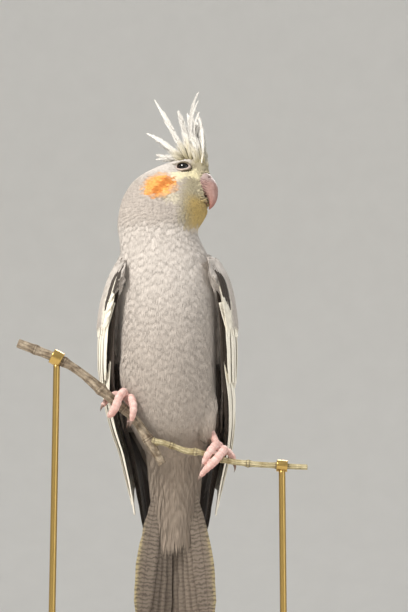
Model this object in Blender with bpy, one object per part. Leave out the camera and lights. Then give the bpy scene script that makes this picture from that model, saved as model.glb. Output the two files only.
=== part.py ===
"""A cockatiel gripping a cut twig, life size, on a plain display stand.

Metres, +Z up. The breast faces -Y and the head is turned towards +X. The origin is the middle of the
stand's underside. The bird and its twig are laid out in the bird's own frame, which hangs from one empty:
x towards the bird's left wing, y towards its back (called depth), z along its body (called height, nought
where the belly meets the twig).
Sizes in the tables are millimetres.
"""

import math

import bmesh
import bpy
import numpy as np
from mathutils import Matrix, Vector

MM = 0.001
GAP = 0.35

# How the bird stands
LEAN = math.radians(13)
PERCH_HEIGHT = 175.0

# Rings of the body: height, middle x, middle depth, half width, reach to the front and to the back, turn, tip.
# The turn swings a ring towards the bill side, and the tip leans it back, both in degrees.
BODY = (
    (-8.0, 3.6, 0.5, 14.6, 12.5, 12.5, 0, 0),
    (0.0, 2.7, 0.0, 18.4, 17.5, 15.5, 0, 0),
    (8.3, 1.8, 0.0, 22.0, 22.0, 18.5, 0, 0),
    (18.1, 0.7, 0.0, 24.2, 25.5, 21.0, 0, 0),
    (32.8, -0.2, 0.0, 24.9, 28.5, 23.5, 0, 0),
    (47.5, -0.2, 0.0, 24.9, 29.0, 25.0, 0, 0),
    (62.2, -0.2, 0.0, 24.7, 27.8, 25.0, 0, 0),
    (76.9, -0.2, -0.4, 23.8, 24.5, 23.4, 0, 0),
    (85.8, -1.2, -0.8, 22.2, 21.4, 21.2, 0, 0),
    (93.0, -3.0, -1.4, 20.6, 18.4, 18.8, 4, 2),
    (97.0, -4.2, -1.8, 19.8, 17.2, 17.6, 7, 5),
    (101.4, -5.2, -2.2, 19.9, 16.0, 16.6, 10, 8),
    (106.5, -3.6, -2.4, 21.4, 14.9, 15.6, 14, 14),
    (111.0, -2.2, -1.8, 22.4, 14.2, 14.8, 17, 19),
    (115.5, -1.7, -0.2, 21.7, 13.6, 14.0, 18, 22),
    (119.8, -0.7, 1.6, 20.5, 13.0, 13.2, 18, 22),
    (123.8, 1.0, 3.2, 19.3, 12.0, 12.2, 18, 22),
    (127.4, 3.7, 4.6, 17.0, 10.8, 11.0, 18, 22),
    (130.4, 6.6, 5.8, 14.1, 9.2, 9.4, 18, 22),
    (132.8, 9.1, 6.8, 11.1, 7.2, 7.4, 18, 22),
    (134.6, 11.0, 7.5, 7.8, 5.0, 5.1, 18, 22),
)
CROWN = (135.7, 12.2, 7.9)
TORSO_TOP = 90.0
NECK_TOP = 107.5
RING_SIDES = 26

EYE_FORWARD = 9.8
EYE_UP = 9.9
EYE_APART = 6.2
EYE_RADIUS = 3.6
EYE_OPENING = (3.1, 1.95)
LID = 0.75

# The head's own frame sits at this height on the rings above, with its first axis to the bill
HEAD_HEIGHT = 119.8

# Crest feathers in the head's frame: root forward and up, aside, middle, tip, half width
CREST = (
    ((6.5, 15.2), -1.6, (-0.5, 18.0), (-6.2, 19.2), 1.3),
    ((6.5, 15.6), 1.4, (-1.0, 18.8), (-8.0, 19.4), 1.3),
    ((8.0, 16.0), -0.6, (-3.5, 26.0), (-13.7, 32.2), 1.2),
    ((8.0, 16.0), 1.8, (-1.8, 25.0), (-10.0, 29.5), 1.3),
    ((9.5, 16.2), 0.4, (-2.5, 35.5), (-13.1, 51.6), 1.15),
    ((9.5, 16.2), -1.8, (2.6, 28.0), (-4.2, 36.6), 1.1),
    ((11.0, 16.6), 1.6, (5.4, 32.5), (-0.4, 45.3), 1.9),
    ((11.5, 16.6), -1.0, (7.2, 29.5), (2.8, 38.1), 1.6),
    ((13.0, 16.6), 0.2, (9.2, 32.0), (5.3, 42.8), 1.5),
    ((14.5, 16.4), -1.6, (8.4, 35.5), (10.3, 53.5), 1.1),
    ((14.5, 16.4), 1.4, (11.4, 31.0), (7.9, 41.4), 1.3),
    ((16.4, 15.0), 0.6, (14.6, 31.0), (9.6, 44.7), 1.2),
    ((17.2, 14.6), -1.4, (15.6, 28.0), (12.4, 40.2), 1.2),
    ((12.5, 16.2), -2.6, (9.9, 25.0), (6.4, 30.0), 1.4),
    ((15.0, 15.8), -2.7, (13.6, 24.0), (10.8, 28.7), 1.4),
    ((11.8, 16.4), 2.8, (8.7, 27.0), (4.9, 34.0), 1.4),
    ((15.8, 15.4), 2.2, (14.2, 25.0), (11.9, 31.3), 1.3),
)

# Low pad that the crest grows from, in the head's frame: middle and radii
CREST_PAD = ((11.6, 0, 15.6), (7.2, 4.2, 3.2))

# Soft upper base of the bill in the head's frame: middle and radii
SOFT_BASE = ((19.4, 0.0, 6.6), (3.4, 4.3, 3.0))

# Nostrils in it: forward, aside, up, and radii
NOSTRIL = (22.0, 2.5, 6.2)
NOSTRIL_RADII = (0.95, 0.8, 0.8)

# Horn of the bill along its middle: forward, up, half height, half width
UPPER_BILL = (
    (15.5, 3.6, 5.6, 5.0),
    (19.0, 3.0, 5.8, 5.3),
    (21.9, 0.9, 4.6, 4.4),
    (23.6, -1.8, 3.0, 3.3),
    (24.2, -4.6, 2.0, 2.2),
    (23.9, -7.2, 1.15, 1.2),
    (23.0, -9.5, 0.3, 0.3),
)
LOWER_BILL = (
    (15.0, -6.6, 2.8, 4.2),
    (18.0, -6.6, 2.4, 3.9),
    (20.0, -5.6, 1.6, 3.2),
    (20.9, -4.4, 0.5, 2.4),
)

FEATHER_THICKNESS = 0.55

# Wings, as the outer face of the folded feathers: height, half width, reach to the back, middle depth
WING_FACE = (
    (-82.0, 8.5, 5.0, 12.5),
    (-70.0, 12.6, 6.0, 11.5),
    (-55.0, 17.4, 8.0, 10.0),
    (-40.7, 20.9, 10.5, 8.5),
    (-30.9, 22.6, 12.5, 7.0),
    (-21.6, 24.4, 15.0, 5.5),
    (-11.3, 26.9, 18.0, 4.0),
    (-1.5, 29.4, 21.0, 2.5),
    (5.9, 31.2, 23.5, 1.5),
    (18.1, 33.0, 26.5, 0.5),
    (32.8, 34.3, 29.0, 0.0),
    (47.5, 34.6, 30.5, 0.0),
    (57.0, 34.0, 30.6, 0.0),
    (67.0, 32.4, 30.0, 0.0),
    (76.9, 29.4, 28.4, -0.2),
    (83.0, 26.2, 26.0, -0.6),
    (88.0, 22.8, 23.4, -0.8),
)
WING_FRONT_REACH = 32.0
LEFT_SHOULDER_RISE = 3.0

# Thickness of a folded wing where the body doesn't fill it: height, thickness
WING_THICKNESS = (
    (-82.0, 5.2),
    (-60.0, 5.6),
    (-40.0, 6.0),
    (-20.0, 6.8),
    (0.0, 8.0),
    (20.0, 9.5),
    (88.0, 9.5),
)

# How much of that thickness lies outside the wing's fleshy core: height, share
WING_CORE_FACE = ((0.0, 0.68), (12.0, 0.62), (40.0, 0.54), (60.0, 0.46), (78.0, 0.36), (88.0, 0.2))

# Front and back edges of that core: height, angle in degrees
WING_CORE_FRONT = ((0, 74), (60, 66), (80, 76), (88, 92))
WING_CORE_BACK = ((0, 168), (30, 168), (60, 160), (88, 136))

# Tiers of wing feathers. A pair is for a tier's front feather and its back one, with angles in degrees. The
# shares of the wing's thickness are at a feather's root, a third of the way down and at its tip.
WING_TIERS = {
    "primaries": {
        "count": 7,
        "root angles": (68, 98),
        "tip angles": (104, 148),
        "root heights": (36, 6),
        "tip heights": (-78, -38),
        "front shares": (0.90, 0.90, 0.97),
        "back shares": (0.74, 0.52, 0.10),
        "half width": 4.6,
        "tilt": 0.0,
    },
    "secondaries": {
        "count": 6,
        "root angles": (74, 154),
        "tip angles": (88, 170),
        "root heights": (42, 38),
        "tip heights": (-4, -22),
        "front shares": (0.76, 0.36, 0.20),
        "back shares": (0.76, 0.30, 0.02),
        "half width": 6.5,
        "tilt": 0.11,
    },
    "greater coverts": {
        "count": 6,
        "root angles": (72, 146),
        "tip angles": (76, 154),
        "root heights": (66, 64),
        "tip heights": (30, 24),
        "front shares": (0.60, 0.20, 0.10),
        "back shares": (0.60, 0.16, 0.06),
        "half width": 6.5,
        "tilt": 0.11,
    },
    "median coverts": {
        "count": 5,
        "root angles": (76, 136),
        "tip angles": (78, 142),
        "root heights": (82, 82),
        "tip heights": (56, 54),
        "front shares": (0.44, 0.12, 0.05),
        "back shares": (0.44, 0.10, 0.03),
        "half width": 6.5,
        "tilt": 0.11,
    },
}
LONG_FEATHER = 45

TAIL_MIDDLE_X = 3.4

# Fleshy root of the tail: height, half width, reach to the front and to the back
TAIL_CORE = (
    (-8.4, 14.2, 12.0, 12.2),
    (-16.0, 13.2, 9.4, 10.0),
    (-26.0, 11.8, 6.0, 6.6),
    (-36.0, 10.2, 3.6, 3.8),
    (-47.0, 8.0, 1.4, 1.4),
)

# Pairs of tail feathers from the middle out: height of the tip, reach to the side at the tip and at the root
TAIL_PAIRS = (
    (-163.0, 1.7, 1.3),
    (-147.0, 5.2, 2.7),
    (-131.0, 8.8, 4.1),
    (-117.0, 12.0, 5.5),
    (-105.0, 14.6, 6.8),
    (-95.0, 16.6, 8.0),
)
TAIL_ROOT = -24.0
TAIL_HALF_WIDTH = 5.4
TAIL_PITCH = 0.85

# Coverts over the tail's root (side 1) and under it (side -1): count, spread to either side, root height,
# tip height, side, half width, rise of the tip
TAIL_COVERTS = (
    (5, 8.8, -11, -36, -1, 3.4, 1.0),
    (4, 6.6, -22, -62, -1, 3.4, 3.4),
    (4, 7.2, -12, -48, 1, 3.6, 2.6),
)

# Twig, through its middle line: x, depth, height, radius
MAIN_TWIG = (
    (-71.5, -20.6, 46.5, 2.2),
    (-62.0, -20.4, 42.8, 2.2),
    (-52.9, -20.6, 39.2, 2.2),
    (-40.7, -20.9, 31.8, 2.1),
    (-33.3, -20.8, 25.6, 2.5),
    (-25.5, -20.8, 18.8, 2.2),
    (-19.6, -20.9, 13.9, 2.1),
    (-14.2, -21.2, 8.3, 2.1),
    (-9.6, -21.4, 1.2, 2.4),
    (-5.4, -21.8, -5.8, 2.0),
    (-2.2, -22.4, -11.4, 1.9),
)
SIDE_TWIG = (
    (-10.6, -21.4, 2.4, 1.3),
    (-7.2, -21.9, -0.5, 1.7),
    (-2.5, -21.8, -1.1, 1.4),
    (2.9, -21.3, -2.9, 1.3),
    (9.8, -21.0, -5.3, 1.5),
    (15.7, -21.0, -5.9, 1.3),
    (21.6, -21.0, -7.8, 1.3),
    (28.4, -21.0, -9.8, 1.4),
    (40.2, -21.2, -11.3, 1.4),
    (54.9, -21.4, -12.3, 1.35),
    (67.1, -21.8, -12.9, 1.3),
)

PALM_RADII = (2.6, 2.2, 2.4)

# Stations along a claw, and the reach at which it would taper to nothing
CLAW_REACHES = (0.0, 1.2, 2.4, 3.6, 4.4)
CLAW_TAPER = 4.9
CLAW_CURL = 0.07

# Stand
BASE_HALF_LENGTH = 78.0
BASE_HALF_WIDTH = 60.0
BASE_THICKNESS = 12.0
ROD_RADIUS = 1.6
ROD_SPOTS = (-52.9, 54.9)


def smooth_read(table, at):
    """The columns of a table of stations at a height, by a smooth curve through its rows."""
    rows = np.asarray(table, float)
    knots = rows[:, 0]
    slopes = np.gradient(rows, knots, axis=0)
    at = np.clip(np.atleast_1d(np.asarray(at, float)), knots[0], knots[-1])
    low = np.clip(np.searchsorted(knots, at) - 1, 0, len(knots) - 2)
    gap = (knots[low + 1] - knots[low])[:, None]
    t = (at - knots[low])[:, None] / gap
    return (
        rows[low] * (1 + 2 * t) * (1 - t) ** 2
        + rows[low + 1] * t * t * (3 - 2 * t)
        + slopes[low] * gap * t * (1 - t) ** 2
        - slopes[low + 1] * gap * t * t * (1 - t)
    )


def ring_axes(turn, tip):
    """Unit vectors of a ring: to the bill side, to the back, and up along the body."""
    turn, tip = np.radians(turn), np.radians(tip)
    flat = np.zeros_like(turn)
    side = np.stack([np.cos(turn), -np.sin(turn), flat], -1)
    level_back = np.stack([np.sin(turn), np.cos(turn), flat], -1)
    level_up = np.stack([flat, flat, flat + 1], -1)
    cos, sin = np.cos(tip)[..., None], np.sin(tip)[..., None]
    return side, level_back * cos - level_up * sin, level_up * cos + level_back * sin


def body_points(angle, height, lift=0.0):
    """Points of the body's surface. Angle 0 faces the front, 90 degrees the bill side, 180 the back."""
    angle, height = np.broadcast_arrays(np.asarray(angle, float), np.asarray(height, float))
    shape = angle.shape
    angle = angle.ravel()
    rows = smooth_read(BODY, height.ravel())
    side, back, _ = ring_axes(rows[:, 6], rows[:, 7])
    reach = np.where(np.cos(angle) > 0, rows[:, 4], rows[:, 5])
    middle = np.stack([rows[:, 1], rows[:, 2], rows[:, 0]], -1)
    across = ((rows[:, 3] + lift) * np.sin(angle))[:, None] * side
    along = ((reach + lift) * np.cos(angle))[:, None] * back
    return (middle + across - along).reshape(*shape, 3)


def head_frame():
    """Matrix of the head: x to the bill, y out of its left cheek, z to the crown."""
    row = smooth_read(BODY, HEAD_HEIGHT)[0]
    side, back, up = ring_axes(row[6], row[7])
    frame = np.eye(4)
    frame[:3, 0] = side
    frame[:3, 1] = back
    frame[:3, 2] = up
    frame[:3, 3] = (row[1], row[2], row[0])
    return frame


def wing_points(side, angle, height, sink):
    """Points under a folded wing's outer face, by how deep they lie. Angle 90 degrees is straight out."""
    angle, height, sink = np.broadcast_arrays(*(np.asarray(v, float) for v in (angle, height, sink)))
    shape = angle.shape
    angle, height, sink = angle.ravel(), height.ravel(), sink.ravel()
    raised = LEFT_SHOULDER_RISE * np.clip((height - 55) / 25, 0, 1) if side > 0 else 0.0
    face = smooth_read(WING_FACE, height - raised)
    middle_x = smooth_read(BODY, np.maximum(height, BODY[0][0]))[:, 1]
    middle_x = np.clip(middle_x, -0.5, TAIL_MIDDLE_X)
    reach = np.where(np.cos(angle) > 0, np.minimum(WING_FRONT_REACH, face[:, 1]), face[:, 2])
    x = middle_x + side * (face[:, 1] - sink) * np.sin(angle)
    depth = face[:, 3] - (reach - sink) * np.cos(angle)
    return np.stack([x, depth, height], -1).reshape(*shape, 3)


def clear_of_body(points, lift):
    """Pushes points that lie within the torso, or closer to it than a lift, straight out from its middle."""
    flat = points.reshape(-1, 3).copy()
    rows = smooth_read(BODY, flat[:, 2])
    away_x, away_depth = flat[:, 0] - rows[:, 1], flat[:, 1] - rows[:, 2]
    reach = np.where(away_depth < 0, rows[:, 4], rows[:, 5]) + lift
    share = np.hypot(away_x / (rows[:, 3] + lift), away_depth / reach)
    push = np.where((share < 1) & (flat[:, 2] > BODY[0][0]), 1 / np.maximum(share, 0.05), 1.0)
    flat[:, 0] = rows[:, 1] + away_x * push
    flat[:, 1] = rows[:, 2] + away_depth * push
    return flat.reshape(points.shape)


def in_wing(side, angle, height, share):
    """Points within a folded wing: a share of 0 lies on its outer face and 1 on its inner face."""
    angle, height, share = np.broadcast_arrays(*(np.asarray(v, float) for v in (angle, height, share)))
    thickness = np.interp(height, *zip(*WING_THICKNESS))
    outer = wing_points(side, angle, height, 0.0)
    inner = clear_of_body(wing_points(side, angle, height, thickness), GAP + 0.1)
    return outer + (inner - outer) * share[..., None]


def make_object(name, points, faces, material=None, parent=None):
    """A mesh object from points in millimetres."""
    mesh = bpy.data.meshes.new(name)
    mesh.from_pydata((np.asarray(points, float) * MM).tolist(), [], faces)
    mesh.validate()
    obj = bpy.data.objects.new(name, mesh)
    bpy.context.scene.collection.objects.link(obj)
    if material is not None:
        mesh.materials.append(material)
    obj.parent = parent
    return obj


def turn_outward(obj):
    """Makes a closed mesh's faces point out."""
    shape = bmesh.new()
    shape.from_mesh(obj.data)
    bmesh.ops.recalc_face_normals(shape, faces=shape.faces)
    if shape.calc_volume(signed=True) < 0:
        bmesh.ops.reverse_faces(shape, faces=shape.faces)
    shape.to_mesh(obj.data)
    shape.free()
    return obj


def loft(name, rings, material=None, parent=None, top=None):
    """A closed skin over rings of points, with flat ends, or with a point at its last end."""
    rings = np.asarray(rings, float)
    count, sides = rings.shape[:2]
    points = rings.reshape(-1, 3)
    faces = [
        (r * sides + s, r * sides + (s + 1) % sides, (r + 1) * sides + (s + 1) % sides, (r + 1) * sides + s)
        for r in range(count - 1)
        for s in range(sides)
    ]
    faces.append(tuple(reversed(range(sides))))
    last = (count - 1) * sides
    if top is None:
        faces.append(tuple(range(last, last + sides)))
    else:
        points = np.vstack([points, top])
        faces += [(last + s, last + (s + 1) % sides, count * sides) for s in range(sides)]
    return turn_outward(make_object(name, points, faces, material, parent))


def tube(name, stations, sides, material=None, parent=None, steps=2, flatten=1.0):
    """A round closed tube along a smooth curve through stations of x, depth, height and radius."""
    stations = np.asarray(stations, float)
    reach = np.concatenate([[0], np.cumsum(np.linalg.norm(np.diff(stations[:, :3], axis=0), axis=1))])
    table = np.column_stack([reach, stations])
    at = np.interp(np.linspace(0, len(reach) - 1, (len(reach) - 1) * steps + 1), range(len(reach)), reach)
    read = smooth_read(table, at)[:, 1:]
    line, radius = read[:, :3], np.maximum(read[:, 3], 0.12)
    along = np.gradient(line, axis=0)
    along /= np.linalg.norm(along, axis=1)[:, None]
    guide = np.eye(3)[np.argmin(abs(along[0]))]
    first = np.zeros_like(line)
    for i, heading in enumerate(along):
        guide = guide - heading * np.dot(guide, heading)
        guide /= np.linalg.norm(guide)
        first[i] = guide
    second = np.cross(first, along)
    turn = np.linspace(0, 2 * math.pi, sides, endpoint=False)
    rings = line[:, None] + radius[:, None, None] * (
        np.cos(turn)[None, :, None] * first[:, None] + flatten * np.sin(turn)[None, :, None] * second[:, None]
    )
    return loft(name, rings, material, parent)


def vane(line, across, half_width, thickness, blunt=0.35):
    """A thin closed feather blade along a line of points, with like triangles on both its faces."""
    line, across = np.asarray(line, float), np.broadcast_to(np.asarray(across, float), np.shape(line))
    along = np.gradient(line, axis=0)
    normal = np.cross(along, across)
    normal /= np.linalg.norm(normal, axis=1)[:, None]
    across = np.cross(normal, along)
    across /= np.linalg.norm(across, axis=1)[:, None]
    part = np.linspace(0, 1, len(line))
    outline = np.interp(part, (0, 0.2, 0.5, 0.8, 0.93, 1), (0.5, 0.86, 1, 0.92, 0.68, blunt))
    reach = across * (half_width * outline)[:, None]
    rise = normal * (thickness / 2 * np.interp(part, (0, 0.8, 1), (1, 1, 0.7)))[:, None]
    points = np.stack([line - reach + rise, line + reach + rise, line + reach - rise, line - reach - rise], 1)
    faces = [(0, 1, 2, 3)]
    for i in range(len(line) - 1):
        a, b, c, d = range(4 * i, 4 * i + 4)
        e, f, g, h = range(4 * i + 4, 4 * i + 8)
        faces += [(a, f, b), (a, e, f), (d, c, g), (d, g, h), (b, f, g), (b, g, c), (a, d, h), (a, h, e)]
    last = 4 * (len(line) - 1)
    faces.append((last + 3, last + 2, last + 1, last))
    return turn_outward(make_object("vane", points.reshape(-1, 3), faces))


def ellipsoid(name, middle, radii, axes, segments, rings, material=None, parent=None):
    """An ellipsoid with its axes along the columns of a matrix."""
    shape = bmesh.new()
    bmesh.ops.create_uvsphere(shape, u_segments=segments, v_segments=rings, radius=1.0)
    mesh = bpy.data.meshes.new(name)
    shape.to_mesh(mesh)
    shape.free()
    matrix = Matrix.Identity(4)
    for column in range(3):
        for row in range(3):
            matrix[row][column] = axes[row][column] * radii[column] * MM
        matrix[column][3] = middle[column] * MM
    mesh.transform(matrix)
    obj = bpy.data.objects.new(name, mesh)
    bpy.context.scene.collection.objects.link(obj)
    if material is not None:
        mesh.materials.append(material)
    obj.parent = parent
    return turn_outward(obj)


def keep_largest(mesh):
    """Drops every closed surface of a mesh but the one with the most faces."""
    shape = bmesh.new()
    shape.from_mesh(mesh)
    left, groups = set(shape.faces), []
    while left:
        stack, group = [left.pop()], []
        while stack:
            face = stack.pop()
            group.append(face)
            for edge in face.edges:
                for other in edge.link_faces:
                    if other in left:
                        left.remove(other)
                        stack.append(other)
        groups.append(group)
    groups.sort(key=len)
    for group in groups[:-1]:
        bmesh.ops.delete(shape, geom=group, context="FACES")
    shape.to_mesh(mesh)
    shape.free()


def apply_boolean(target, pieces, operation, solver="EXACT"):
    """Joins or cuts a mesh by a list of closed ones, which are then removed."""
    group = bpy.data.collections.new("pieces")
    bpy.context.scene.collection.children.link(group)
    for piece in pieces:
        bpy.context.scene.collection.objects.unlink(piece)
        group.objects.link(piece)
    step = target.modifiers.new(operation.lower(), "BOOLEAN")
    step.operation = operation
    step.operand_type = "COLLECTION"
    step.collection = group
    step.solver = solver
    bpy.context.view_layer.update()
    graph = bpy.context.evaluated_depsgraph_get()
    made = bpy.data.meshes.new_from_object(target.evaluated_get(graph))
    target.modifiers.clear()
    old = target.data
    target.data = made
    bpy.data.meshes.remove(old)
    for piece in list(group.objects):
        bpy.data.objects.remove(piece)
    bpy.data.collections.remove(group)
    keep_largest(made)
    return target


def shade(obj, degrees=40):
    """Smooth shading with sharp edges where faces meet at more than an angle."""
    obj.data.shade_smooth()
    obj.data.set_sharp_from_angle(angle=math.radians(degrees))
    return obj


def make_material(name, hex_colour, roughness, metallic=0.0):
    """A plain Principled finish from an sRGB hex colour."""
    channels = [int(hex_colour[i : i + 2], 16) / 255 for i in (0, 2, 4)]
    linear = [c / 12.92 if c <= 0.04045 else ((c + 0.055) / 1.055) ** 2.4 for c in channels]
    material = bpy.data.materials.new(name)
    material.use_nodes = True
    shader = material.node_tree.nodes["Principled BSDF"]
    shader.inputs["Base Color"].default_value = (*linear, 1)
    shader.inputs["Roughness"].default_value = roughness
    shader.inputs["Metallic"].default_value = metallic
    return material


def clear_scene():
    """Removes the startup objects."""
    for obj in list(bpy.data.objects):
        bpy.data.objects.remove(obj)


def body_loft(name, low, high, rings, material, parent, top=None, lift=0.0):
    """One length of the body between two heights."""
    turn = np.linspace(0, 2 * math.pi, RING_SIDES, endpoint=False)
    heights = np.linspace(low, high, rings)
    return loft(name, body_points(turn[None, :], heights[:, None], lift), material, parent, top)


def skull_cutter(bird):
    """The head a little larger, to cut the seat of whatever rests on it."""
    crown = np.array([[CROWN[1], CROWN[2], CROWN[0] + GAP]])
    return body_loft("skull", NECK_TOP, BODY[-1][0] + GAP / 2, 13, None, bird, crown, GAP)


def bill_loft(name, spine, inflate, material=None, parent=None):
    """A horn piece of the bill. Spine rows: forward, up, half height, half width, in the head's frame."""
    frame = head_frame()
    rows = np.asarray(spine, float)
    knots = np.arange(len(rows), dtype=float)
    at = np.linspace(0, len(rows) - 1, 2 * len(rows) - 1)
    read = smooth_read(np.column_stack([knots, rows]), at)[:, 1:]
    middle = read[:, :2]
    along = np.gradient(middle, axis=0)
    along /= np.linalg.norm(along, axis=1)[:, None]
    middle[0] -= along[0] * inflate
    outward = np.stack([-along[:, 1], along[:, 0]], -1)
    turn = np.linspace(0, 2 * math.pi, 12, endpoint=False)
    rings = []
    for place, out, half_height, half_width in zip(middle, outward, read[:, 2], read[:, 3]):
        high = (max(half_height, 0.25) + inflate) * np.sin(turn)
        wide = (max(half_width, 0.25) + inflate) * np.cos(turn)
        flat = place[None, :] + high[:, None] * out[None, :]
        rings.append(np.column_stack([flat[:, 0], wide, flat[:, 1], np.ones(len(turn))]) @ frame.T)
    return loft(name, np.array(rings)[:, :, :3], material, parent)


def head_ellipsoid(name, forward, aside, up, radii, segments=12, rings=8):
    """An ellipsoid placed in the head's own frame."""
    frame = head_frame()
    middle = (frame @ np.array([forward, aside, up, 1.0]))[:3]
    return ellipsoid(name, middle, radii, frame[:3, :3], segments, rings)


def eye_opening(away, bird):
    """An oval peg that opens the lids over one eye."""
    frame = head_frame()
    turn = np.linspace(0, 2 * math.pi, 16, endpoint=False)
    rings = []
    for aside in (EYE_APART + 0.8, EYE_APART + 8):
        ring = np.column_stack(
            [
                EYE_FORWARD + EYE_OPENING[0] * np.cos(turn),
                np.full(16, away * aside),
                EYE_UP + EYE_OPENING[1] * np.sin(turn),
                np.ones(16),
            ]
        )
        rings.append((ring @ frame.T)[:, :3])
    return loft("opening", rings, None, bird)


def make_head(materials, bird):
    """Head with its lids, eyes, and a bill with nostrils in its soft upper base."""
    feather = materials["grey feather"]
    low = NECK_TOP + GAP
    head = body_loft("head", low, BODY[-1][0], 13, feather, bird, np.array([[CROWN[1], CROWN[2], CROWN[0]]]))
    lids, cutters = [], []
    for name, away in (("eye_right", -1), ("eye_left", 1)):
        spot = (EYE_FORWARD, away * EYE_APART, EYE_UP)
        eye = head_ellipsoid(name, *spot, [EYE_RADIUS] * 3)
        eye.data.materials.append(materials["eye"])
        eye.parent = bird
        lids.append(head_ellipsoid("lid", *spot, [EYE_RADIUS + GAP + LID] * 3, 14, 9))
        cutters.append(head_ellipsoid("socket", *spot, [EYE_RADIUS + GAP] * 3, 12, 8))
        cutters.append(eye_opening(away, bird))
    apply_boolean(head, parented(lids, bird), "UNION")
    upper = bill_loft("bill_upper", UPPER_BILL, 0.0, materials["horn"], bird)
    soft_base = head_ellipsoid("soft base", *SOFT_BASE[0], SOFT_BASE[1])
    apply_boolean(upper, parented([soft_base], bird), "UNION")
    forward, aside, up = NOSTRIL
    nostrils = [head_ellipsoid("nostril", forward, away * aside, up, NOSTRIL_RADII, 8, 5) for away in (-1, 1)]
    apply_boolean(upper, parented(nostrils, bird), "DIFFERENCE")
    lower = bill_loft("bill_lower", LOWER_BILL, 0.0, materials["horn"], bird)
    apply_boolean(lower, [bill_loft("bite", UPPER_BILL, GAP, None, bird)], "DIFFERENCE")
    cutters.append(bill_loft("bill seat", UPPER_BILL, GAP, None, bird))
    cutters.append(bill_loft("chin seat", LOWER_BILL, GAP, None, bird))
    seat = head_ellipsoid("soft seat", *SOFT_BASE[0], [radius + GAP for radius in SOFT_BASE[1]])
    apply_boolean(head, [*parented(cutters, bird), *parented([seat], bird)], "DIFFERENCE")
    return head


def make_crest(materials, bird):
    """The crest, feather by feather, from a low pad on the crown."""
    frame = head_frame()
    crest = head_ellipsoid("crest", *CREST_PAD[0], CREST_PAD[1], 14, 8)
    crest.data.materials.append(materials["pale feather"])
    crest.parent = bird
    feathers = []
    for number, (root, aside, middle, tip, half_width) in enumerate(CREST):
        part = np.linspace(0, 1, 6)[:, None]
        aside_tip = aside * 1.5
        ends = np.array([(*root, aside), (*middle, (aside + aside_tip) / 2), (*tip, aside_tip)], float)
        bend = 2 * ends[1] - (ends[0] + ends[2]) / 2
        line = (1 - part) ** 2 * ends[0] + 2 * part * (1 - part) * bend + part**2 * ends[2]
        line = np.column_stack([line[:, 0], line[:, 2], line[:, 1], np.ones(6)]) @ frame.T
        heading = line[-1, :3] - line[0, :3]
        twist = 0.35 if number % 2 else -0.3
        across = np.cross(frame[:3, 1], heading) / np.linalg.norm(heading) + twist * frame[:3, 1]
        feathers.append(vane(line[:, :3], across, half_width, FEATHER_THICKNESS, 0.25))
    apply_boolean(crest, parented(feathers, bird), "UNION")
    return apply_boolean(crest, [skull_cutter(bird)], "DIFFERENCE")


def wing_feather(side, tier, place):
    """One feather of a tier, at a place from 0 at the tier's front to 1 at its back."""

    def between(pair):
        return np.interp(place, (0, 1), pair)

    root, tip = np.radians(between(tier["root angles"])), np.radians(between(tier["tip angles"]))
    high, low = between(tier["root heights"]), between(tier["tip heights"])
    long = tier["root heights"][0] - tier["tip heights"][0] > LONG_FEATHER
    part = np.linspace(0, 1, 6 if long else 4)
    angle = root + (tip - root) * part
    height = high + (low - high) * part
    shares = [between(pair) for pair in zip(tier["front shares"], tier["back shares"])]
    share = np.interp(part, (0, 0.3, 1), shares)
    line = in_wing(side, angle, height, share)
    outward = in_wing(side, angle, height, share - 0.1) - line
    outward /= np.linalg.norm(outward, axis=1)[:, None]
    across = in_wing(side, angle + 0.05, height, share) - line
    across /= np.linalg.norm(across, axis=1)[:, None]
    return vane(line, across - tier["tilt"] * outward, tier["half width"], FEATHER_THICKNESS)


def make_wing(name, side, materials, bird):
    """A folded wing: a core under tiers of overlapping feathers, each a little under the next one back."""
    heights = np.concatenate([np.linspace(87, 8, 9), [2.0]])
    part = np.linspace(0, 1, 9)
    rings = []
    for height in heights:
        front = math.radians(np.interp(height, *zip(*WING_CORE_FRONT)))
        back = math.radians(np.interp(height, *zip(*WING_CORE_BACK)))
        angle = front + (back - front) * part
        face = np.interp(height, *zip(*WING_CORE_FACE))
        fullness = np.interp(height, (2, 14, 80, 88), (0.3, 1, 1, 0.6))
        edge = np.clip(1 - (2 * part - 1) ** 4, 0.12, 1) * fullness
        outer = in_wing(side, angle, height, face)
        inner = in_wing(side, angle[::-1], height, face + (1 - face) * edge[::-1])
        rings.append(np.concatenate([outer, inner]))
    wing = loft(name, rings, materials["grey feather"], bird)
    feathers = []
    for tier in WING_TIERS.values():
        for place in np.linspace(0, 1, tier["count"]):
            feathers.append(wing_feather(side, tier, place))
    return apply_boolean(wing, parented(feathers, bird), "UNION")


def tail_points(aside, height, lift):
    """Points of the tail's middle sheet, raised towards the back by a lift."""
    aside, height, lift = np.broadcast_arrays(*(np.asarray(v, float) for v in (aside, height, lift)))
    return np.stack([TAIL_MIDDLE_X + aside, 1.5 - 0.07 * (height + 8) + lift, height], -1)


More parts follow.
